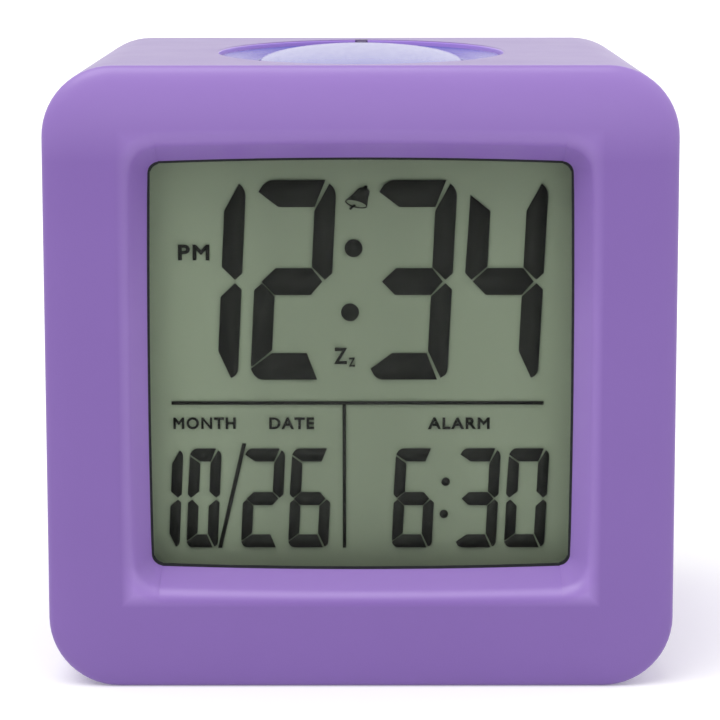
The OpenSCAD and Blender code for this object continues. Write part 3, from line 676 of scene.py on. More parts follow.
def foam_finish():
    """Black closed-cell foam with small open pores."""
    f = Finish("Black foam")
    pores = f.cells(4200)
    body = f.blend(pores, tint("0c0e10"), tint("1d2125"))
    return f.surface(body, 0.9 - pores * 0.15, f.relief(pores, 0.00008, 0.6))


def clear_finish(name, alpha, haze, shade, gloss=0.5):
    """Clear sheet that shows what is behind it, with faint smears in its gloss."""
    f = Finish(name)
    smears = f.noise(90, 4, 0.6)
    body = f.blend(smears, shade, darker(shade, 0.9))
    seen = smears * (alpha * 0.4) + alpha * 0.8
    return f.surface(body, smears * 0.06 + haze, alpha=seen, specular_ior_level=gloss)


def backing_finish(base):
    """Satin reflective film, with painted light that makes it paler at the sides, a fine sparkle
    and soft clouds.
    """
    f = Finish("Display backing")
    x, _, _ = f.axes()
    sparkle = f.noise(9000, 1, 0.5)
    clouds = f.noise(26, 2, 0.5)
    # Painted light: the film is paler towards both sides, more on the left, against the shade that
    # the window's edges cast on it.
    sides = f.ramp(x * 18 + 0.5, [(0.0, 1.0), (0.3, 0.1), (0.6, 0.0), (1.0, 0.6)])
    toned = f.blend(sides, base, darker(base, 1.6))
    toned = f.blend(clouds * 0.12, toned, darker(base, 0.88))
    toned = f.blend(sparkle * 0.05, toned, darker(base, 1.3))
    return f.surface(toned, sparkle * 0.1 + 0.6)


def ink_finish(name, base, roughness):
    """Printed or switched-on marks: even colour with a slight mottle."""
    f = Finish(name)
    mottle = f.noise(2400, 3, 0.6)
    body = f.blend(mottle, darker(base, 0.9), darker(base, 1.15))
    return f.surface(body, mottle * 0.1 + roughness)


def board_finish():
    """Solder mask over copper traces and pads, with woven glass cloth under it."""
    f = Finish("Circuit board")
    x, _, z = f.axes()
    wander = f.noise(140, 1, 0.3)
    rows = ((z + wander * 0.004) * 2600).math("SINE")
    columns = ((x + wander * 0.004) * 2600).math("SINE")
    patch = f.noise(75, 0, 0.0) > 0.5
    traces = f.ramp(rows * patch + columns * (1 - patch), [(0.45, 0.0), (0.6, 1.0)])
    pads = f.cells(420) < 0.12
    weave = (x * 9000).math("SINE") * (z * 9000).math("SINE")
    mask = f.blend(traces, tint("0d4a2a"), tint("1c6b3d"))
    body = f.blend(pads, mask, tint("cfc9b8"))
    height = traces * 0.7 + pads * 0.5 + weave * 0.1
    return f.surface(body, 0.32 - pads * 0.08, f.relief(height, 0.00004, 0.6), coat_weight=0.2)


def steel_finish(base):
    """Plated steel with drawn lines and duller handled patches."""
    f = Finish("Bright steel")
    lines = f.noise(1500, 3, 0.6, (1, 1, 9))
    dull = f.noise(210, 4, 0.6)
    body = f.blend(dull, darker(base, 0.86), darker(base, 1.05))
    normal = f.relief(lines, 0.00001, 0.5)
    return f.surface(body, lines * 0.12 + dull * 0.14 + 0.18, normal, metallic=1.0)


def guide_finish():
    """Clear acrylic light guide with a grid of white dots on it."""
    f = Finish("Guide acrylic")
    x, _, z = f.axes()
    grid = (x * 3900).math("SINE") * (z * 3900).math("SINE")
    dots = grid > 0.55
    body = f.blend(dots, tint("dfeee4"), tint("ffffff"))
    return f.surface(body, dots * 0.4 + 0.12, coat_weight=0.1)


def contact_finish():
    """Striped silicone contact strip: thin black layers in pink."""
    f = Finish("Contact rubber")
    x, _, _ = f.axes()
    layers = (x * 16000).math("SINE") > 0.1
    cloud = f.noise(700, 3, 0.6)
    body = f.blend(layers, f.blend(cloud, tint("c97a86"), tint("d98f98")), tint("1b1b1d"))
    return f.surface(body, cloud * 0.15 + 0.55, f.relief(cloud, 0.00002, 0.4))


def disc_finish(centre_x, centre_z, ceramic_radius):
    """Sounder disc: brass plate, white ceramic in the middle with a silvered face."""
    f = Finish("Sounder disc")
    x, _, z = f.axes()
    reach = ((x - centre_x) * (x - centre_x) + (z - centre_z) * (z - centre_z)).math("SQRT")
    ceramic = reach < ceramic_radius
    silver = reach < ceramic_radius * 0.86
    mottle = f.noise(900, 4, 0.6)
    brass = f.blend(mottle, tint("b98d3f"), tint("d9b667"))
    body = f.blend(ceramic, brass, f.blend(silver, tint("e9e2d4"), tint("c6c8ca")))
    return f.surface(
        body,
        mottle * 0.2 + 0.22,
        f.relief(f.noise(1800, 3, 0.6), 0.00001, 0.5),
        metallic=1 - ceramic * 0.7,
    )


def cell_finish(name, turn, half):
    """Battery wrap: dark body, light ring and bright band at the positive end, steel ends."""
    f = Finish(name)
    x, _, _ = f.axes()
    along = x * turn
    band_edge = half - 13 * MM
    steel = (along > half - 1.3 * MM).math("MAXIMUM", along < 0.9 * MM - half)
    band = along > band_edge
    ring = along.math("COMPARE", band_edge, 0.45 * MM)
    scuffs = f.noise(600, 5, 0.65)
    foil = f.noise(2600, 2, 0.5)
    wrap = f.blend(band, tint("23272e"), tint("b9773a"))
    wrap = f.blend(ring, wrap, tint("e4e4e0"))
    wrap = f.blend(f.ramp(scuffs, [(0.6, 0.0), (0.8, 0.35)]), wrap, tint("8d8f92"))
    body = f.blend(steel, wrap, tint("c8c8ca"))
    return f.surface(
        body,
        foil * 0.1 + scuffs * 0.1 + 0.18,
        f.relief(foil, 0.000008, 0.5),
        metallic=steel * 0.6 + 0.4,
    )


def ribbon_finish():
    """Flat cable: grey cores side by side."""
    f = Finish("Cable jacket")
    x, _, z = f.axes()
    cores = ((x + z) * 5000).math("SINE")
    dust = f.noise(800, 4, 0.6)
    body = f.blend(dust, tint("a3a4a8"), tint("b9babd"))
    return f.surface(body, dust * 0.15 + 0.4, f.relief(cores, 0.00008, 0.5))


def jacket_finish(name, base):
    """Smooth insulated wire with slight kinks in its gloss."""
    f = Finish(name)
    kinks = f.noise(500, 3, 0.6)
    return f.surface(
        f.blend(kinks, darker(base, 0.85), darker(base, 1.15)),
        kinks * 0.15 + 0.3,
        f.relief(kinks, 0.00003, 0.4),
    )


def surroundings(g):
    """A light tent: bright above, behind and at the sides, and dim behind the camera."""
    world = bpy.data.worlds.new("Studio")
    f = Finish(world, "ShaderNodeOutputWorld", "Generated")
    x, y, z = f.axes()
    behind = y.math("MAXIMUM", 0.0)
    upward = z.math("MAXIMUM", 0.0)
    sideways = x.math("ABSOLUTE") * g.flanks + x * g.lopsided
    strength = upward * g.overhead + sideways + behind * behind * g.backdrop + g.surroundings
    background = f.node("ShaderNodeBackground", None, {"Color": (1, 1, 1, 1), "Strength": strength})
    f.tree.links.new(background.outputs[0], f.output.inputs["Surface"])
    return world


def floor_finish(base):
    """Matt white paper floor."""
    f = Finish("Floor")
    fibres = f.noise(300, 4, 0.6)
    paper = f.blend(fibres, darker(base, 0.995), base)
    return f.surface(paper, fibres * 0.05 + 0.9, emission_strength=0.2)


# ---- Seven-bar digits ----

# Bars that are switched on for each figure
BARS_ON = {
    "0": "abcdef",
    "1": "bc",
    "2": "abged",
    "3": "abgcd",
    "4": "fgbc",
    "6": "afgedc",
}


def digit_bars(w, h, upright, level, gap, corner):
    """Outlines of the seven bars in a box w by h, with the sizes of their strokes."""
    mid = 0.494 * h
    c = corner
    inner_l, inner_r = upright, w - upright
    high = mid + level / 2
    low = mid - level / 2
    return {
        "a": [
            (0, h - 1.05 * c),
            (0.38 * c, h - 0.42 * c),
            (0.8 * c, h - 0.1 * c),
            (1.15 * c, h),
            (w - c, h),
            (inner_r, h - level),
            (inner_l, h - level),
        ],
        "b": [
            (w - 0.62 * c, h - 0.32 * c),
            (w - 0.3 * c, h - 0.6 * c),
            (w - 0.08 * c, h - 0.98 * c),
            (w, h - 1.45 * c),
            (w, mid + 0.75 * c),
            (w - 0.62 * c, mid + 0.55 * gap),
            (inner_r, high + 0.4 * gap),
            (inner_r, h - level - 1.2 * gap),
        ],
        "c": [
            (w - 0.6 * c, mid - 0.55 * gap),
            (inner_r, low - 0.6 * gap),
            (inner_r, level + 0.7 * gap),
            (w - 0.6 * c, 0.16 * c),
            (w - 0.25 * c, 0.36 * c),
            (w - 0.05 * c, 0.66 * c),
            (w, 1.1 * c),
            (w, mid - 0.7 * c),
        ],
        "d": [
            (0, 0.98 * c),
            (inner_l, level),
            (inner_r - 0.4 * gap, level),
            (w - 0.9 * c, 0),
            (1.05 * c, 0),
            (0.7 * c, 0.1 * c),
            (0.34 * c, 0.38 * c),
        ],
        "e": [
            (0.68 * c, mid - 0.55 * gap),
            (0, mid - 0.75 * c),
            (0, c + 1.1 * gap),
            (0.16 * c, c + 0.8 * gap),
            (inner_l, level + gap),
            (inner_l, low - 0.5 * gap),
        ],
        "f": [
            (0, h - c - 1.2 * gap),
            (-0.1 * c, mid + 0.75 * c),
            (0.48 * c, mid + 0.55 * gap),
            (inner_l, high + 0.5 * gap),
            (inner_l, h - level - 1.3 * gap),
        ],
        "g": [
            (0.62 * c, mid),
            (inner_l, low),
            (inner_r, low),
            (w - 0.85 * c, mid),
            (inner_r, high),
            (inner_l, high),
        ],
    }


def figure(char, left, bottom, w, h, upright, level, gap, corner, slant):
    """Outlines of one leaning figure with its box's lower left corner at left, bottom."""
    bars = digit_bars(w, h, upright, level, gap, corner)
    outlines = []
    for bar in BARS_ON[char]:
        outline = []
        for point in bars[bar]:
            x = left + point[0] + slant * (point[1] - h / 2)
            outline.append((x, bottom + point[1]))
        outlines.append(outline)
    return outlines


def dot(x, z, radius, steps=40):
    """Outline of a round dot."""
    angles = [math.tau * i / steps for i in range(steps)]
    return [(x + radius * math.cos(a), z + radius * math.sin(a)) for a in angles]


def box_outline(x0, x1, z0, z1):
    """Outline of an upright rectangle."""
    return [(x0, z0), (x1, z0), (x1, z1), (x0, z1)]


def bell_outlines(x, z, scale):
    """A tilted bell seen a little from below: body, open mouth and clapper."""
    profile = [(0.0, 1.46), (0.25, 1.36), (0.6, 1.2), (1.2, 0.96), (1.7, 0.85), (2.0, 0.72)]
    profile += [(2.2, 0.45), (2.26, 0.22), (2.45, 0.24), (2.58, 0.12)]
    tilt = math.radians(-16)
    lean = 0.24

    def set_down(px, pz):
        px += lean * pz
        return (
            x + scale * (px * math.cos(tilt) - pz * math.sin(tilt)),
            z + scale * (px * math.sin(tilt) + pz * math.cos(tilt)),
        )

    def arc(half_w, half_h, start, end, steps):
        angles = [math.radians(start + (end - start) * i / steps) for i in range(steps + 1)]
        return [(half_w * math.cos(a), half_h * math.sin(a)) for a in angles]

    right = [(w, h) for h, w in profile]
    left = [(-w, h) for h, w in reversed(profile)]
    body = right + left + arc(1.3, 0.36, 178, 2, 16)
    outlines = [[set_down(*p) for p in body]]
    outer = arc(1.46, 0.52, 180, 360, 24)
    inner = arc(1.28, 0.36, 360, 180, 24)
    outlines.append([set_down(*p) for p in outer + inner])
    clapper = [(-0.16, -0.05), (-0.4, -0.75), (-0.12, -0.85), (0.18, -0.05)]
    outlines.append([set_down(px - 0.1, pz - 0.12) for px, pz in clapper])
    return outlines


# ---- Pieces ----


def section_ring(outline, middle, y):
    """Ring at depth y of an outline drawn round the height called middle."""
    return [Vector((x, y, middle + z)) for x, z in outline]


def skin_rings(s):
    """Rings from the window's edge over bezel, front, sides and rear lip back to the window."""
    low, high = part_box("sleeve")
    front, rear = low.y, high.y
    half_w = high.x
    half_h = (high.z - low.z) / 2
    middle = (high.z + low.z) / 2

    def window(grow, depth):
        outline = rounded_outline(
            s.window_width / 2 + grow,
            s.window_height / 2 + grow,
            s.window_corner + grow,
            s.window_bow,
        )
        return section_ring(outline, s.window_middle, front + depth)

    def body(inset, y):
        radius = max(s.corner_radius - inset, MM)
        return section_ring(rounded_outline(half_w - inset, half_h - inset, radius), middle, y)

    slope = math.hypot(s.bezel_width, s.bezel_depth)
    back = (s.bezel_width / slope * s.bezel_lip, s.bezel_depth / slope * s.bezel_lip)
    rings = [window(0, s.bezel_depth), window(0.0, s.bezel_depth - 0.12 * MM)]
    rings.append(window(0.18 * MM, s.bezel_depth - 0.42 * MM))
    steps = 8
    for i in range(steps + 1):
        u = i / steps
        grow = s.bezel_width - back[0] * (1 - u) ** 2 + s.bezel_lip * u ** 2
        rings.append(window(grow, back[1] * (1 - u) ** 2))
    steps = 12
    for i in range(steps + 1):
        u = i / steps
        rings.append(body(s.crown_width * (1 - u) ** 2, front + s.crown_depth * u ** 2))
    steps = 6
    reach = s.rear_round / 0.6
    for i in range(steps + 1):
        a = math.pi / 2 * i / steps
        rings.append(body(s.rear_round * (1 - math.cos(a)), rear - reach * (1 - math.sin(a))))
    lip = s.wall + s.rear_lip_width
    ease = 0.2 * MM
    rings.append(body(lip - ease, rear))
    rings.append(body(lip - 0.3 * ease, rear - 0.3 * ease))
    rings.append(body(lip, rear - ease))
    rings.append(body(lip, rear - s.rear_lip_depth))
    rings.append(body(s.wall, rear - s.rear_lip_depth))
    rings.append(body(s.wall, front + s.bezel_depth))
    return rings


def make_skin(s, z):
    """The soft skin as one closed shell with the recess's opening and the locating tab."""
    bm = bmesh.new()
    loft(bm, skin_rings(s), closed=True)
    skin = finish_mesh(bm, "soft_skin_shell")
    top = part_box("sleeve")[1].z
    bm = bmesh.new()
    rings = [(0.0, top - s.wall - 2 * MM), (0.0, top - s.rim_radius)]
    for i in range(1, 6):
        a = math.radians(16 * i)
        rings.append((s.rim_radius * (1 - math.cos(a)), top - s.rim_radius * (1 - math.sin(a))))
    rings.append((rings[-1][0] + 0.02 * MM, top + MM))
    ovals = [
        oval_ring(z.recess_width + 2 * g, z.recess_length + 2 * g, z.recess_middle, level)
        for g, level in rings
    ]
    loft(bm, ovals, caps=(True, True))
    combine(skin, finish_mesh(bm, "Recess cutter"), "DIFFERENCE")
    end = z.recess_middle + z.recess_length / 2
    level = top - 0.2 * MM
    tab = turned(
        "Tab",
        [
            (0, top - s.wall + 0.1 * MM),
            (s.tab_radius, top - s.wall + 0.1 * MM),
            (s.tab_radius, level - 0.25 * MM),
            (s.tab_radius - 0.07 * MM, level - 0.07 * MM),
            (s.tab_radius - 0.25 * MM, level),
            (0, level),
        ],
        (0, end + 0.1 * MM, 0),
        (0, 0, 1),
        steps=32,
    )
    combine(skin, tab, "UNION")
    return shade(skin, merge=1e-6)


def make_snooze_button(z):
    """Domed button with its skirt, retaining flange and plunger as one closed piece."""
    low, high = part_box("snooze_button")
    top = high.z
    y = z.recess_middle
    w, long = z.button_width, z.button_length
    wall = 1.2 * MM
    flange_w, flange_l = high.x * 2, 39.4 * MM
    flange_low = low.z + 0.25 * MM
    flange_top = flange_low + wall
    neck = (w - 3.4 * MM, flange_l - 3.6 * MM)
    inner = (neck[0] - 2 * wall, neck[1] - 2 * wall)
    rings = []
    rise = top - z.button_edge
    steps = 30
    for i in range(steps + 1):
        reach = max(math.sin(math.pi / 2 * i / steps), 0.004)
        rings.append((w * reach, long * reach, z.button_edge + rise * dome(reach)))
    rings.append((w, long, z.button_rim + 0.15 * MM))
    rings.append((w - 0.3 * MM, long - 0.3 * MM, z.button_rim))
    rings.append((w - 2 * wall, long - 2 * wall, z.button_rim))
    rings.append((w - 2 * wall, long - 2 * wall, z.ceiling))
    rings.append((neck[0], neck[1], z.ceiling))
    rings.append((neck[0], neck[1], flange_top))
    rings.append((flange_w, flange_l, flange_top))
    rings.append((flange_w, flange_l, flange_low))
    rings.append((inner[0], inner[1], flange_low))
    rings.append((inner[0], inner[1], z.ceiling))
    round_post = 2 * z.plunger_radius
    rings.append((round_post, round_post, z.ceiling))
    rings.append((round_post, round_post, low.z + 0.3 * MM))
    rings.append((round_post - 0.6 * MM, round_post - 0.6 * MM, low.z))
    bm = bmesh.new()
    loft(bm, [oval_ring(a, b, y, level) for a, b, level in rings], caps=(True, True))
    return shade(finish_mesh(bm, "snooze_dome"))


def dome(reach):
    """Height of the snooze dome, from 1 in the middle to 0 at its edge."""
    return (1 - reach ** 2.1) ** 0.55


def make_snooze_dish(s, z):
    """Oval dish round the snooze button, with eased edges and a notch for the tab."""
    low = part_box("snooze_surround")[0].z
    fit = 0.1 * MM
    outer = (z.recess_width - fit, z.recess_length - fit)
    inner = (z.button_width + 2 * z.gap, z.button_length + 2 * z.gap)
    top = z.outer_level
    rings = [
        (outer[0], outer[1], low),
        (outer[0], outer[1], top - 0.15 * MM),
        (outer[0] - 0.1 * MM, outer[1] - 0.1 * MM, top - 0.04 * MM),
        (outer[0] - 0.3 * MM, outer[1] - 0.3 * MM, top),
    ]
    steps = 8
    edge = 0.3 * MM
    for i in range(1, steps + 1):
        u = i / steps
        fall = (top - z.inner_level) * math.sin(u * math.pi / 2)
        a, b = ((o - edge) * (1 - u) + (n + edge) * u for o, n in zip(outer, inner))
        rings.append((a, b, top - fall))
    rings.append((inner[0] + 0.08 * MM, inner[1] + 0.08 * MM, z.inner_level - 0.05 * MM))
    rings.append((inner[0], inner[1], z.inner_level - 0.2 * MM))
    rings.append((inner[0], inner[1], low))
    bm = bmesh.new()
    loft(bm, [oval_ring(a, b, z.recess_middle, level) for a, b, level in rings], closed=True)
    piece = finish_mesh(bm, "snooze_dish")
    end = z.recess_middle + z.recess_length / 2
    radius = s.tab_radius + 0.08 * MM
    notch = turned(
        "Notch",
        [(0, low - MM), (radius, low - MM), (radius, top + MM), (0, top + MM)],
        (0, end + 0.1 * MM, 0),
        (0, 0, 1),
        steps=32,
    )
    combine(piece, notch, "DIFFERENCE")
    return shade(piece, merge=1e-6)


def make_key(node, name, r):
    """Round key: dished face, soft edge, shank and retaining flange, turned in one."""
    low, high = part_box(node)
    middle = ((low.x + high.x) / 2, 0, (low.z + high.z) / 2)
    flange = (high.x - low.x) / 2
    inner, outer = low.y, high.y
    radius = r.key_radius
    ease = 0.45 * MM
    profile = [(0, outer - r.key_dish)]
    steps = 8
    bowl = radius - ease - 0.25 * MM
    for i in range(1, steps + 1):
        u = i / steps
        profile.append((bowl * u, outer - r.key_dish * (1 - u ** 2)))
    for i in range(7):
        a = math.pi / 2 * i / 6
        profile.append((radius - ease + ease * math.sin(a), outer - ease * (1 - math.cos(a))))
    profile += [
        (radius, inner + 1.0 * MM),
        (flange, inner + 1.0 * MM),
        (flange, inner),
        (radius - 1.2 * MM, inner),
        (radius - 1.2 * MM, inner + 1.0 * MM),
        (0, inner + 1.0 * MM),
    ]
    return shade(turned(name, profile, middle, (0, 1, 0)))


# ---- Operators ----


class ClockOperator(bpy.types.Operator):
    """Shared options of the clock's operators"""

    bl_options = {"REGISTER", "UNDO"}


class CLOCK_OT_skin(ClockOperator):
    """Build the soft skin with its bezel, crowned front, rear lip and recess rim"""

    bl_idname = "clock.skin"
    bl_label = "Soft Skin"

    def execute(self, context):
        scene = context.scene
        s = scene.clock_skin
        skin = make_skin(s, scene.clock_snooze)
        material = skin_finish(s, scene.clock_snooze)
        dress(skin, "clock", "soft_skin", material, "sleeve")
        return {"FINISHED"}


class CLOCK_OT_snooze(ClockOperator):
    """Build the snooze button and the dish round it"""

    bl_idname = "clock.snooze"
    bl_label = "Snooze Button"

    def execute(self, context):
        scene = context.scene
        z = scene.clock_snooze
        material = tinted_finish(z.base)
        button = make_snooze_button(z)
        dress(button, "snooze", "blue_tint_plastic", material, "snooze_button")
        dish = make_snooze_dish(scene.clock_skin, z)
        dress(dish, "clock", "blue_tint_plastic", material, "snooze_surround")
        return {"FINISHED"}


class CLOCK_OT_display(ClockOperator):
    """Lay the digits, words, rules and icons into the display"""

    bl_idname = "clock.display"
    bl_label = "Display Marks"

    def execute(self, context):
        d = context.scene.clock_display
        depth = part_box("lcd_rear_glass")[1].y - 0.2 * MM
        thick = d.mark_thickness
        ink = ink_finish("Display ink", d.ink, 0.8)

        def lay(name, outlines):
            piece = plates(name, outlines, depth - thick, thick)
            dress(piece, "clock", "black_epoxy", ink)

        # Widths of uprights and levels, gap between bars, corner cut, and lean
        time_sizes = (2.66 * MM, 3.46 * MM, 0.4 * MM, 1.45 * MM, d.slant)
        small_sizes = (1.38 * MM, 1.71 * MM, 0.22 * MM, 0.75 * MM, d.slant)
        outlines = []
        for char, left in (("1", -25.23), ("2", -13.66), ("3", 1.83), ("4", 13.53)):
            box = (left * MM, d.time_bottom, d.time_width, d.time_height)
            outlines += figure(char, *box, *time_sizes)
        lay("display_time_digits", outlines)

        def small_digits(row):
            outlines = []
            for char, right, wide in row:
                box = (right * MM - wide, d.small_bottom, wide, d.small_height)
                outlines += figure(char, *box, *small_sizes)
            return outlines

        wide = d.small_width
        narrow = 4.09 * MM
        date = [("1", -23.34, wide), ("0", -18.36, narrow), ("2", -10.11, wide), ("6", -3.98, wide)]
        alarm = [("6", 9.51, wide), ("3", 17.85, wide), ("0", 24.15, wide)]
        half = 0.26 * MM
        foot, head = -18.37 * MM, -15.12 * MM
        low, high = 16.42 * MM, 30.24 * MM
        slash = [(foot - half, low), (foot + half, low), (head + half, high), (head - half, high)]
        lay("display_date_digits", small_digits(date) + [slash])
        lay("display_alarm_digits", small_digits(alarm))

        dots = [(-0.92, 55.71, 1.15), (-1.38, 47.41, 1.15)]
        dots += [(11.01, 25.18, 0.55), (10.78, 20.92, 0.55)]
        lay("display_dots", [dot(x * MM, z * MM, r * MM) for x, z, r in dots])
        rules = [(-24.51, 23.65, 35.34, 35.78), (-2.36, -1.94, 16.44, 35.35)]
        lay("display_rules", [box_outline(*(v * MM for v in rule)) for rule in rules])
        lay("display_bell", bell_outlines(-0.57 * MM, 61.45 * MM, MM))

        rows = [
            ("MONTH", -24.29, 32.13, 8.08, 1.54),
            ("DATE", -11.87, 32.13, 5.82, 1.53),
            ("ALARM", 8.68, 32.12, 8.01, 1.53),
            ("PM", -23.46, 54.16, 4.02, 2.02),
            ("Z", -3.45, 40.64, 1.68, 2.15),
            ("Z", -1.57, 40.32, 0.83, 1.17),
        ]
        rows = [(r[0],) + tuple(v * MM for v in r[1:]) + (0.03, 1.17) for r in rows]
        piece = words("display_words", rows, depth - thick, thick)
        dress(piece, "clock", "black_epoxy", ink)
        return {"FINISHED"}


class CLOCK_OT_rear(ClockOperator):
    """Build the rear panel, battery lid, round keys, slide grip and their printed marks"""

    bl_idname = "clock.rear"
    bl_label = "Rear Panel and Keys"

    def execute(self, context):
        r = context.scene.clock_rear
        panel_material = moulded_finish("Rear plastic", r.panel, 0.5, 3400, 0.00006)
        panel = eased_copy("rear_cover", "rear_panel", r.edge_ease)
        dress(panel, "clock", "rear_plastic", panel_material, "rear_cover")
        lid = eased_copy("battery_door", "battery_lid", r.edge_ease)
        dress(lid, "door", "rear_plastic", panel_material, "battery_door")
        grip = eased_copy("alarm_switch_knob", "slide_grip", 0.12 * MM)
        knob_material = moulded_finish("Knob plastic", tint("e3e3e6"), 0.4)
        dress(grip, "alarm_slider", "knob_plastic", knob_material, "alarm_switch_knob")
        key_material = moulded_finish("Key plastic", r.key, 0.38)
        for word in ("set", "mode", "up", "down"):
            key = make_key(word + "_button", word + "_key_cap", r)
            dress(key, word + "_key", "key_plastic", key_material, word + "_button")
        self.print_marks()
        return {"FINISHED"}

    def print_marks(self):
        """Prints plain words and arrows beside the controls."""
        face = 69.4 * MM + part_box("sleeve")[0].y
        thick = 0.04 * MM
        pale = ink_finish("Pale print", tint("d9d2e6"), 0.55)
        key_boxes = {name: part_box(name + "_button") for name in ("set", "mode", "up", "down")}
        centres = {n: ((b[0].x + b[1].x) / 2, (b[0].z + b[1].z) / 2) for n, b in key_boxes.items()}
        lift = 4.55 * MM
        rows = []
        for name, wide in (("set", 4.2), ("mode", 6.2)):
            x, z = centres[name]
            rows.append((name.upper(), -x - wide / 2 * MM, z + lift, wide * MM, 1.35 * MM))
        knob_low, knob_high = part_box("alarm_switch_knob")
        slide_x = (knob_low.x + knob_high.x) / 2 + 1.5 * MM
        slide_z = (knob_low.z + knob_high.z) / 2
        rows.append(("ALARM", -slide_x - 3.3 * MM, slide_z + 2.6 * MM, 6.6 * MM, 1.3 * MM))
        rows.append(("ON", -slide_x - 7.9 * MM, slide_z - 0.6 * MM, 2.3 * MM, 1.25 * MM))
        rows.append(("OFF", -slide_x + 5.3 * MM, slide_z - 0.6 * MM, 3.0 * MM, 1.25 * MM))
        rows = [row + (0.012, 1.15) for row in rows]
        piece = words("rear_words", rows, face + thick, thick, facing=1)
        dress(piece, "clock", "key_plastic", pale)
        arrows = []
        half = 1.0 * MM
        for name, up in (("up", 1), ("down", -1)):
            x, z = centres[name]
            z += lift + 0.65 * MM
            base = z - up * 0.6 * MM
            arrows.append([(x - half, base), (x + half, base), (x, z + up * 0.7 * MM)])
        piece = plates("rear_arrows", arrows, face + thick, thick, facing=1)
        dress(piece, "clock", "key_plastic", pale)


class CLOCK_OT_finishes(ClockOperator):
    """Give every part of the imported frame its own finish"""

    bl_idname = "clock.finishes"
    bl_label = "Finishes"

    def execute(self, context):
        scene = context.scene
        skin = scene.clock_skin
        low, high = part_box("sounder_disc")
        cell_low, cell_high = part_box("battery_cell_upper")
        half = (cell_high.x - cell_low.x) / 2
        glassy = tint("1c1f1b")
        by_slot = {
            "case_plastic": moulded_finish("Case plastic", darker(skin.base, 0.8), 0.4),
            "black_foam": foam_finish(),
            "clear_lens": clear_finish("Clear lens", 0.02, 0.05, glassy),
            "polarizer_film": clear_finish("Polarizer film", 0.02, 0.2, tint("262b22"), 0.1),
            "display_glass": clear_finish("Display glass", 0.01, 0.05, glassy, 0.1),
            "display_backing": backing_finish(scene.clock_display.backing),
            "white_plastic": moulded_finish("White plastic", tint("dcdcd8"), 0.45),
            "contact_rubber": contact_finish(),
            "guide_acrylic": guide_finish(),
            "circuit_board": board_finish(),
            "black_epoxy": moulded_finish("Black epoxy", tint("1e1e20"), 0.45),
            "bright_steel": steel_finish(tint("c4c5c9")),
            "cable_jacket": ribbon_finish(),
            "red_jacket": jacket_finish("Red jacket", tint("a81c1c")),
            "black_jacket": jacket_finish("Black jacket", tint("222224")),
        }
        by_node = {
            "sounder_disc": disc_finish((low.x + high.x) / 2, (low.z + high.z) / 2, 7 * MM),
            "battery_cell_upper": cell_finish("Upper cell wrap", 1, half),
            "battery_cell_lower": cell_finish("Lower cell wrap", -1, half),
        }
        replaced = {
            "soft_skin": "Soft skin",
            "blue_tint_plastic": "Blue tint plastic",
            "rear_plastic": "Rear plastic",
            "key_plastic": "Key plastic",
            "knob_plastic": "Knob plastic",
        }
        slots = {p["node"]: p["material_slot"] for p in frame["record"]["subparts"]}
        for name, node in frame["nodes"].items():
            slot = slots[name]
            material = by_node.get(name) or by_slot.get(slot)
            if material is None:
                material = bpy.data.materials[replaced[slot]]
            for part_slot in node.material_slots:
                part_slot.material = material
        return {"FINISHED"}


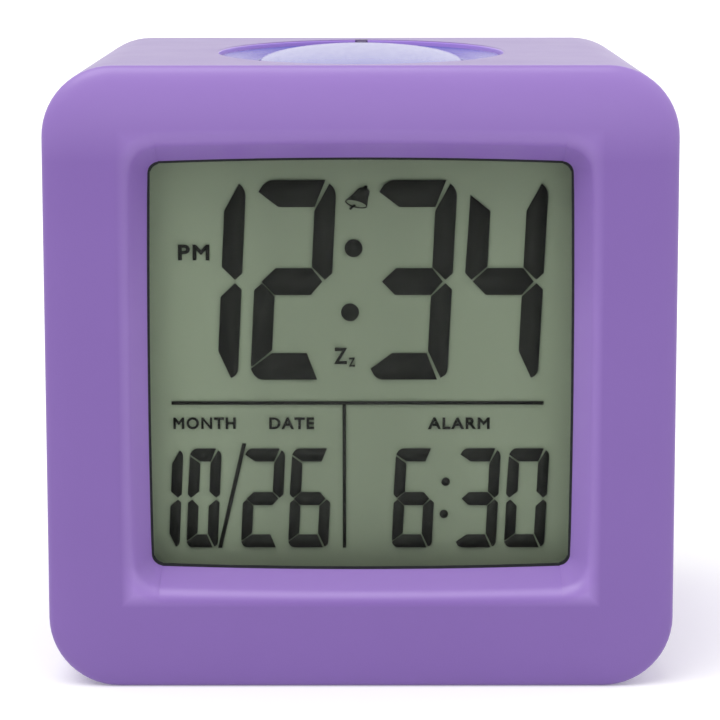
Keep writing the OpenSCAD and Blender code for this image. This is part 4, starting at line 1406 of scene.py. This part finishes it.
class CLOCK_OT_stage(ClockOperator):
    """Set the floor, the soft light and the camera"""

    bl_idname = "clock.stage"
    bl_label = "Stage"

    def execute(self, context):
        scene = context.scene
        g = scene.clock_stage
        bm = bmesh.new()
        bmesh.ops.create_grid(bm, x_segments=4, y_segments=4, size=g.floor_size / 2)
        floor = finish_mesh(bm, "floor", recalculate=False)
        floor.data.materials.append(floor_finish(g.floor))

        scene.world = surroundings(g)

        key = bpy.data.lights.new("Key", "SUN")
        key.energy = g.key_light
        key.angle = g.key_spread
        lamp = bpy.data.objects.new("Key", key)
        lamp.rotation_euler = Vector((0.3, 0.42, -0.9)).to_track_quat("-Z", "Y").to_euler()
        scene.collection.objects.link(lamp)

        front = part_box("sleeve")[0].y
        camera = bpy.data.cameras.new("Camera")
        camera.lens = g.lens
        camera.sensor_width = 36
        camera.clip_start = 0.01
        view = bpy.data.objects.new("Camera", camera)
        view.location = (0.83 * MM, front - g.distance, g.height)
        turn = Matrix.Rotation(0.0024, 3, "Z") @ Matrix.Rotation(math.pi / 2 - g.pitch, 3, "X")
        view.rotation_euler = (turn @ Matrix.Rotation(-0.0009, 3, "Z")).to_euler()
        scene.collection.objects.link(view)
        scene.camera = view
        scene.view_settings.view_transform = "Standard"
        scene.cycles.transparent_max_bounces = 32
        return {"FINISHED"}


class CLOCK_PT_parts(bpy.types.Panel):
    """Buttons that build the clock piece by piece"""

    bl_idname = "CLOCK_PT_parts"
    bl_label = "Cube Alarm Clock"
    bl_space_type = "VIEW_3D"
    bl_region_type = "UI"
    bl_category = "Clock"

    def draw(self, context):
        column = self.layout.column()
        for operator in OPERATORS:
            column.operator(operator.bl_idname)
        for settings in SETTINGS:
            group = getattr(context.scene, settings)
            column.separator()
            for key in SETTINGS[settings].__annotations__:
                column.prop(group, key)


SETTINGS = {
    "clock_skin": SkinSettings,
    "clock_snooze": SnoozeSettings,
    "clock_display": DisplaySettings,
    "clock_rear": RearSettings,
    "clock_stage": StageSettings,
}
OPERATORS = (
    CLOCK_OT_skin,
    CLOCK_OT_snooze,
    CLOCK_OT_display,
    CLOCK_OT_rear,
    CLOCK_OT_finishes,
    CLOCK_OT_stage,
)
CLASSES = tuple(SETTINGS.values()) + OPERATORS + (CLOCK_PT_parts,)


def register():
    for cls in CLASSES:
        bpy.utils.register_class(cls)
    for name, cls in SETTINGS.items():
        setattr(bpy.types.Scene, name, PointerProperty(type=cls))


def unregister():
    for name in SETTINGS:
        delattr(bpy.types.Scene, name)
    for cls in reversed(CLASSES):
        bpy.utils.unregister_class(cls)


def main():
    register()
    bpy.ops.clock.skin()
    bpy.ops.clock.snooze()
    bpy.ops.clock.display()
    bpy.ops.clock.rear()
    bpy.ops.clock.finishes()
    bpy.ops.clock.stage()


if __name__ == "__main__":
    main()
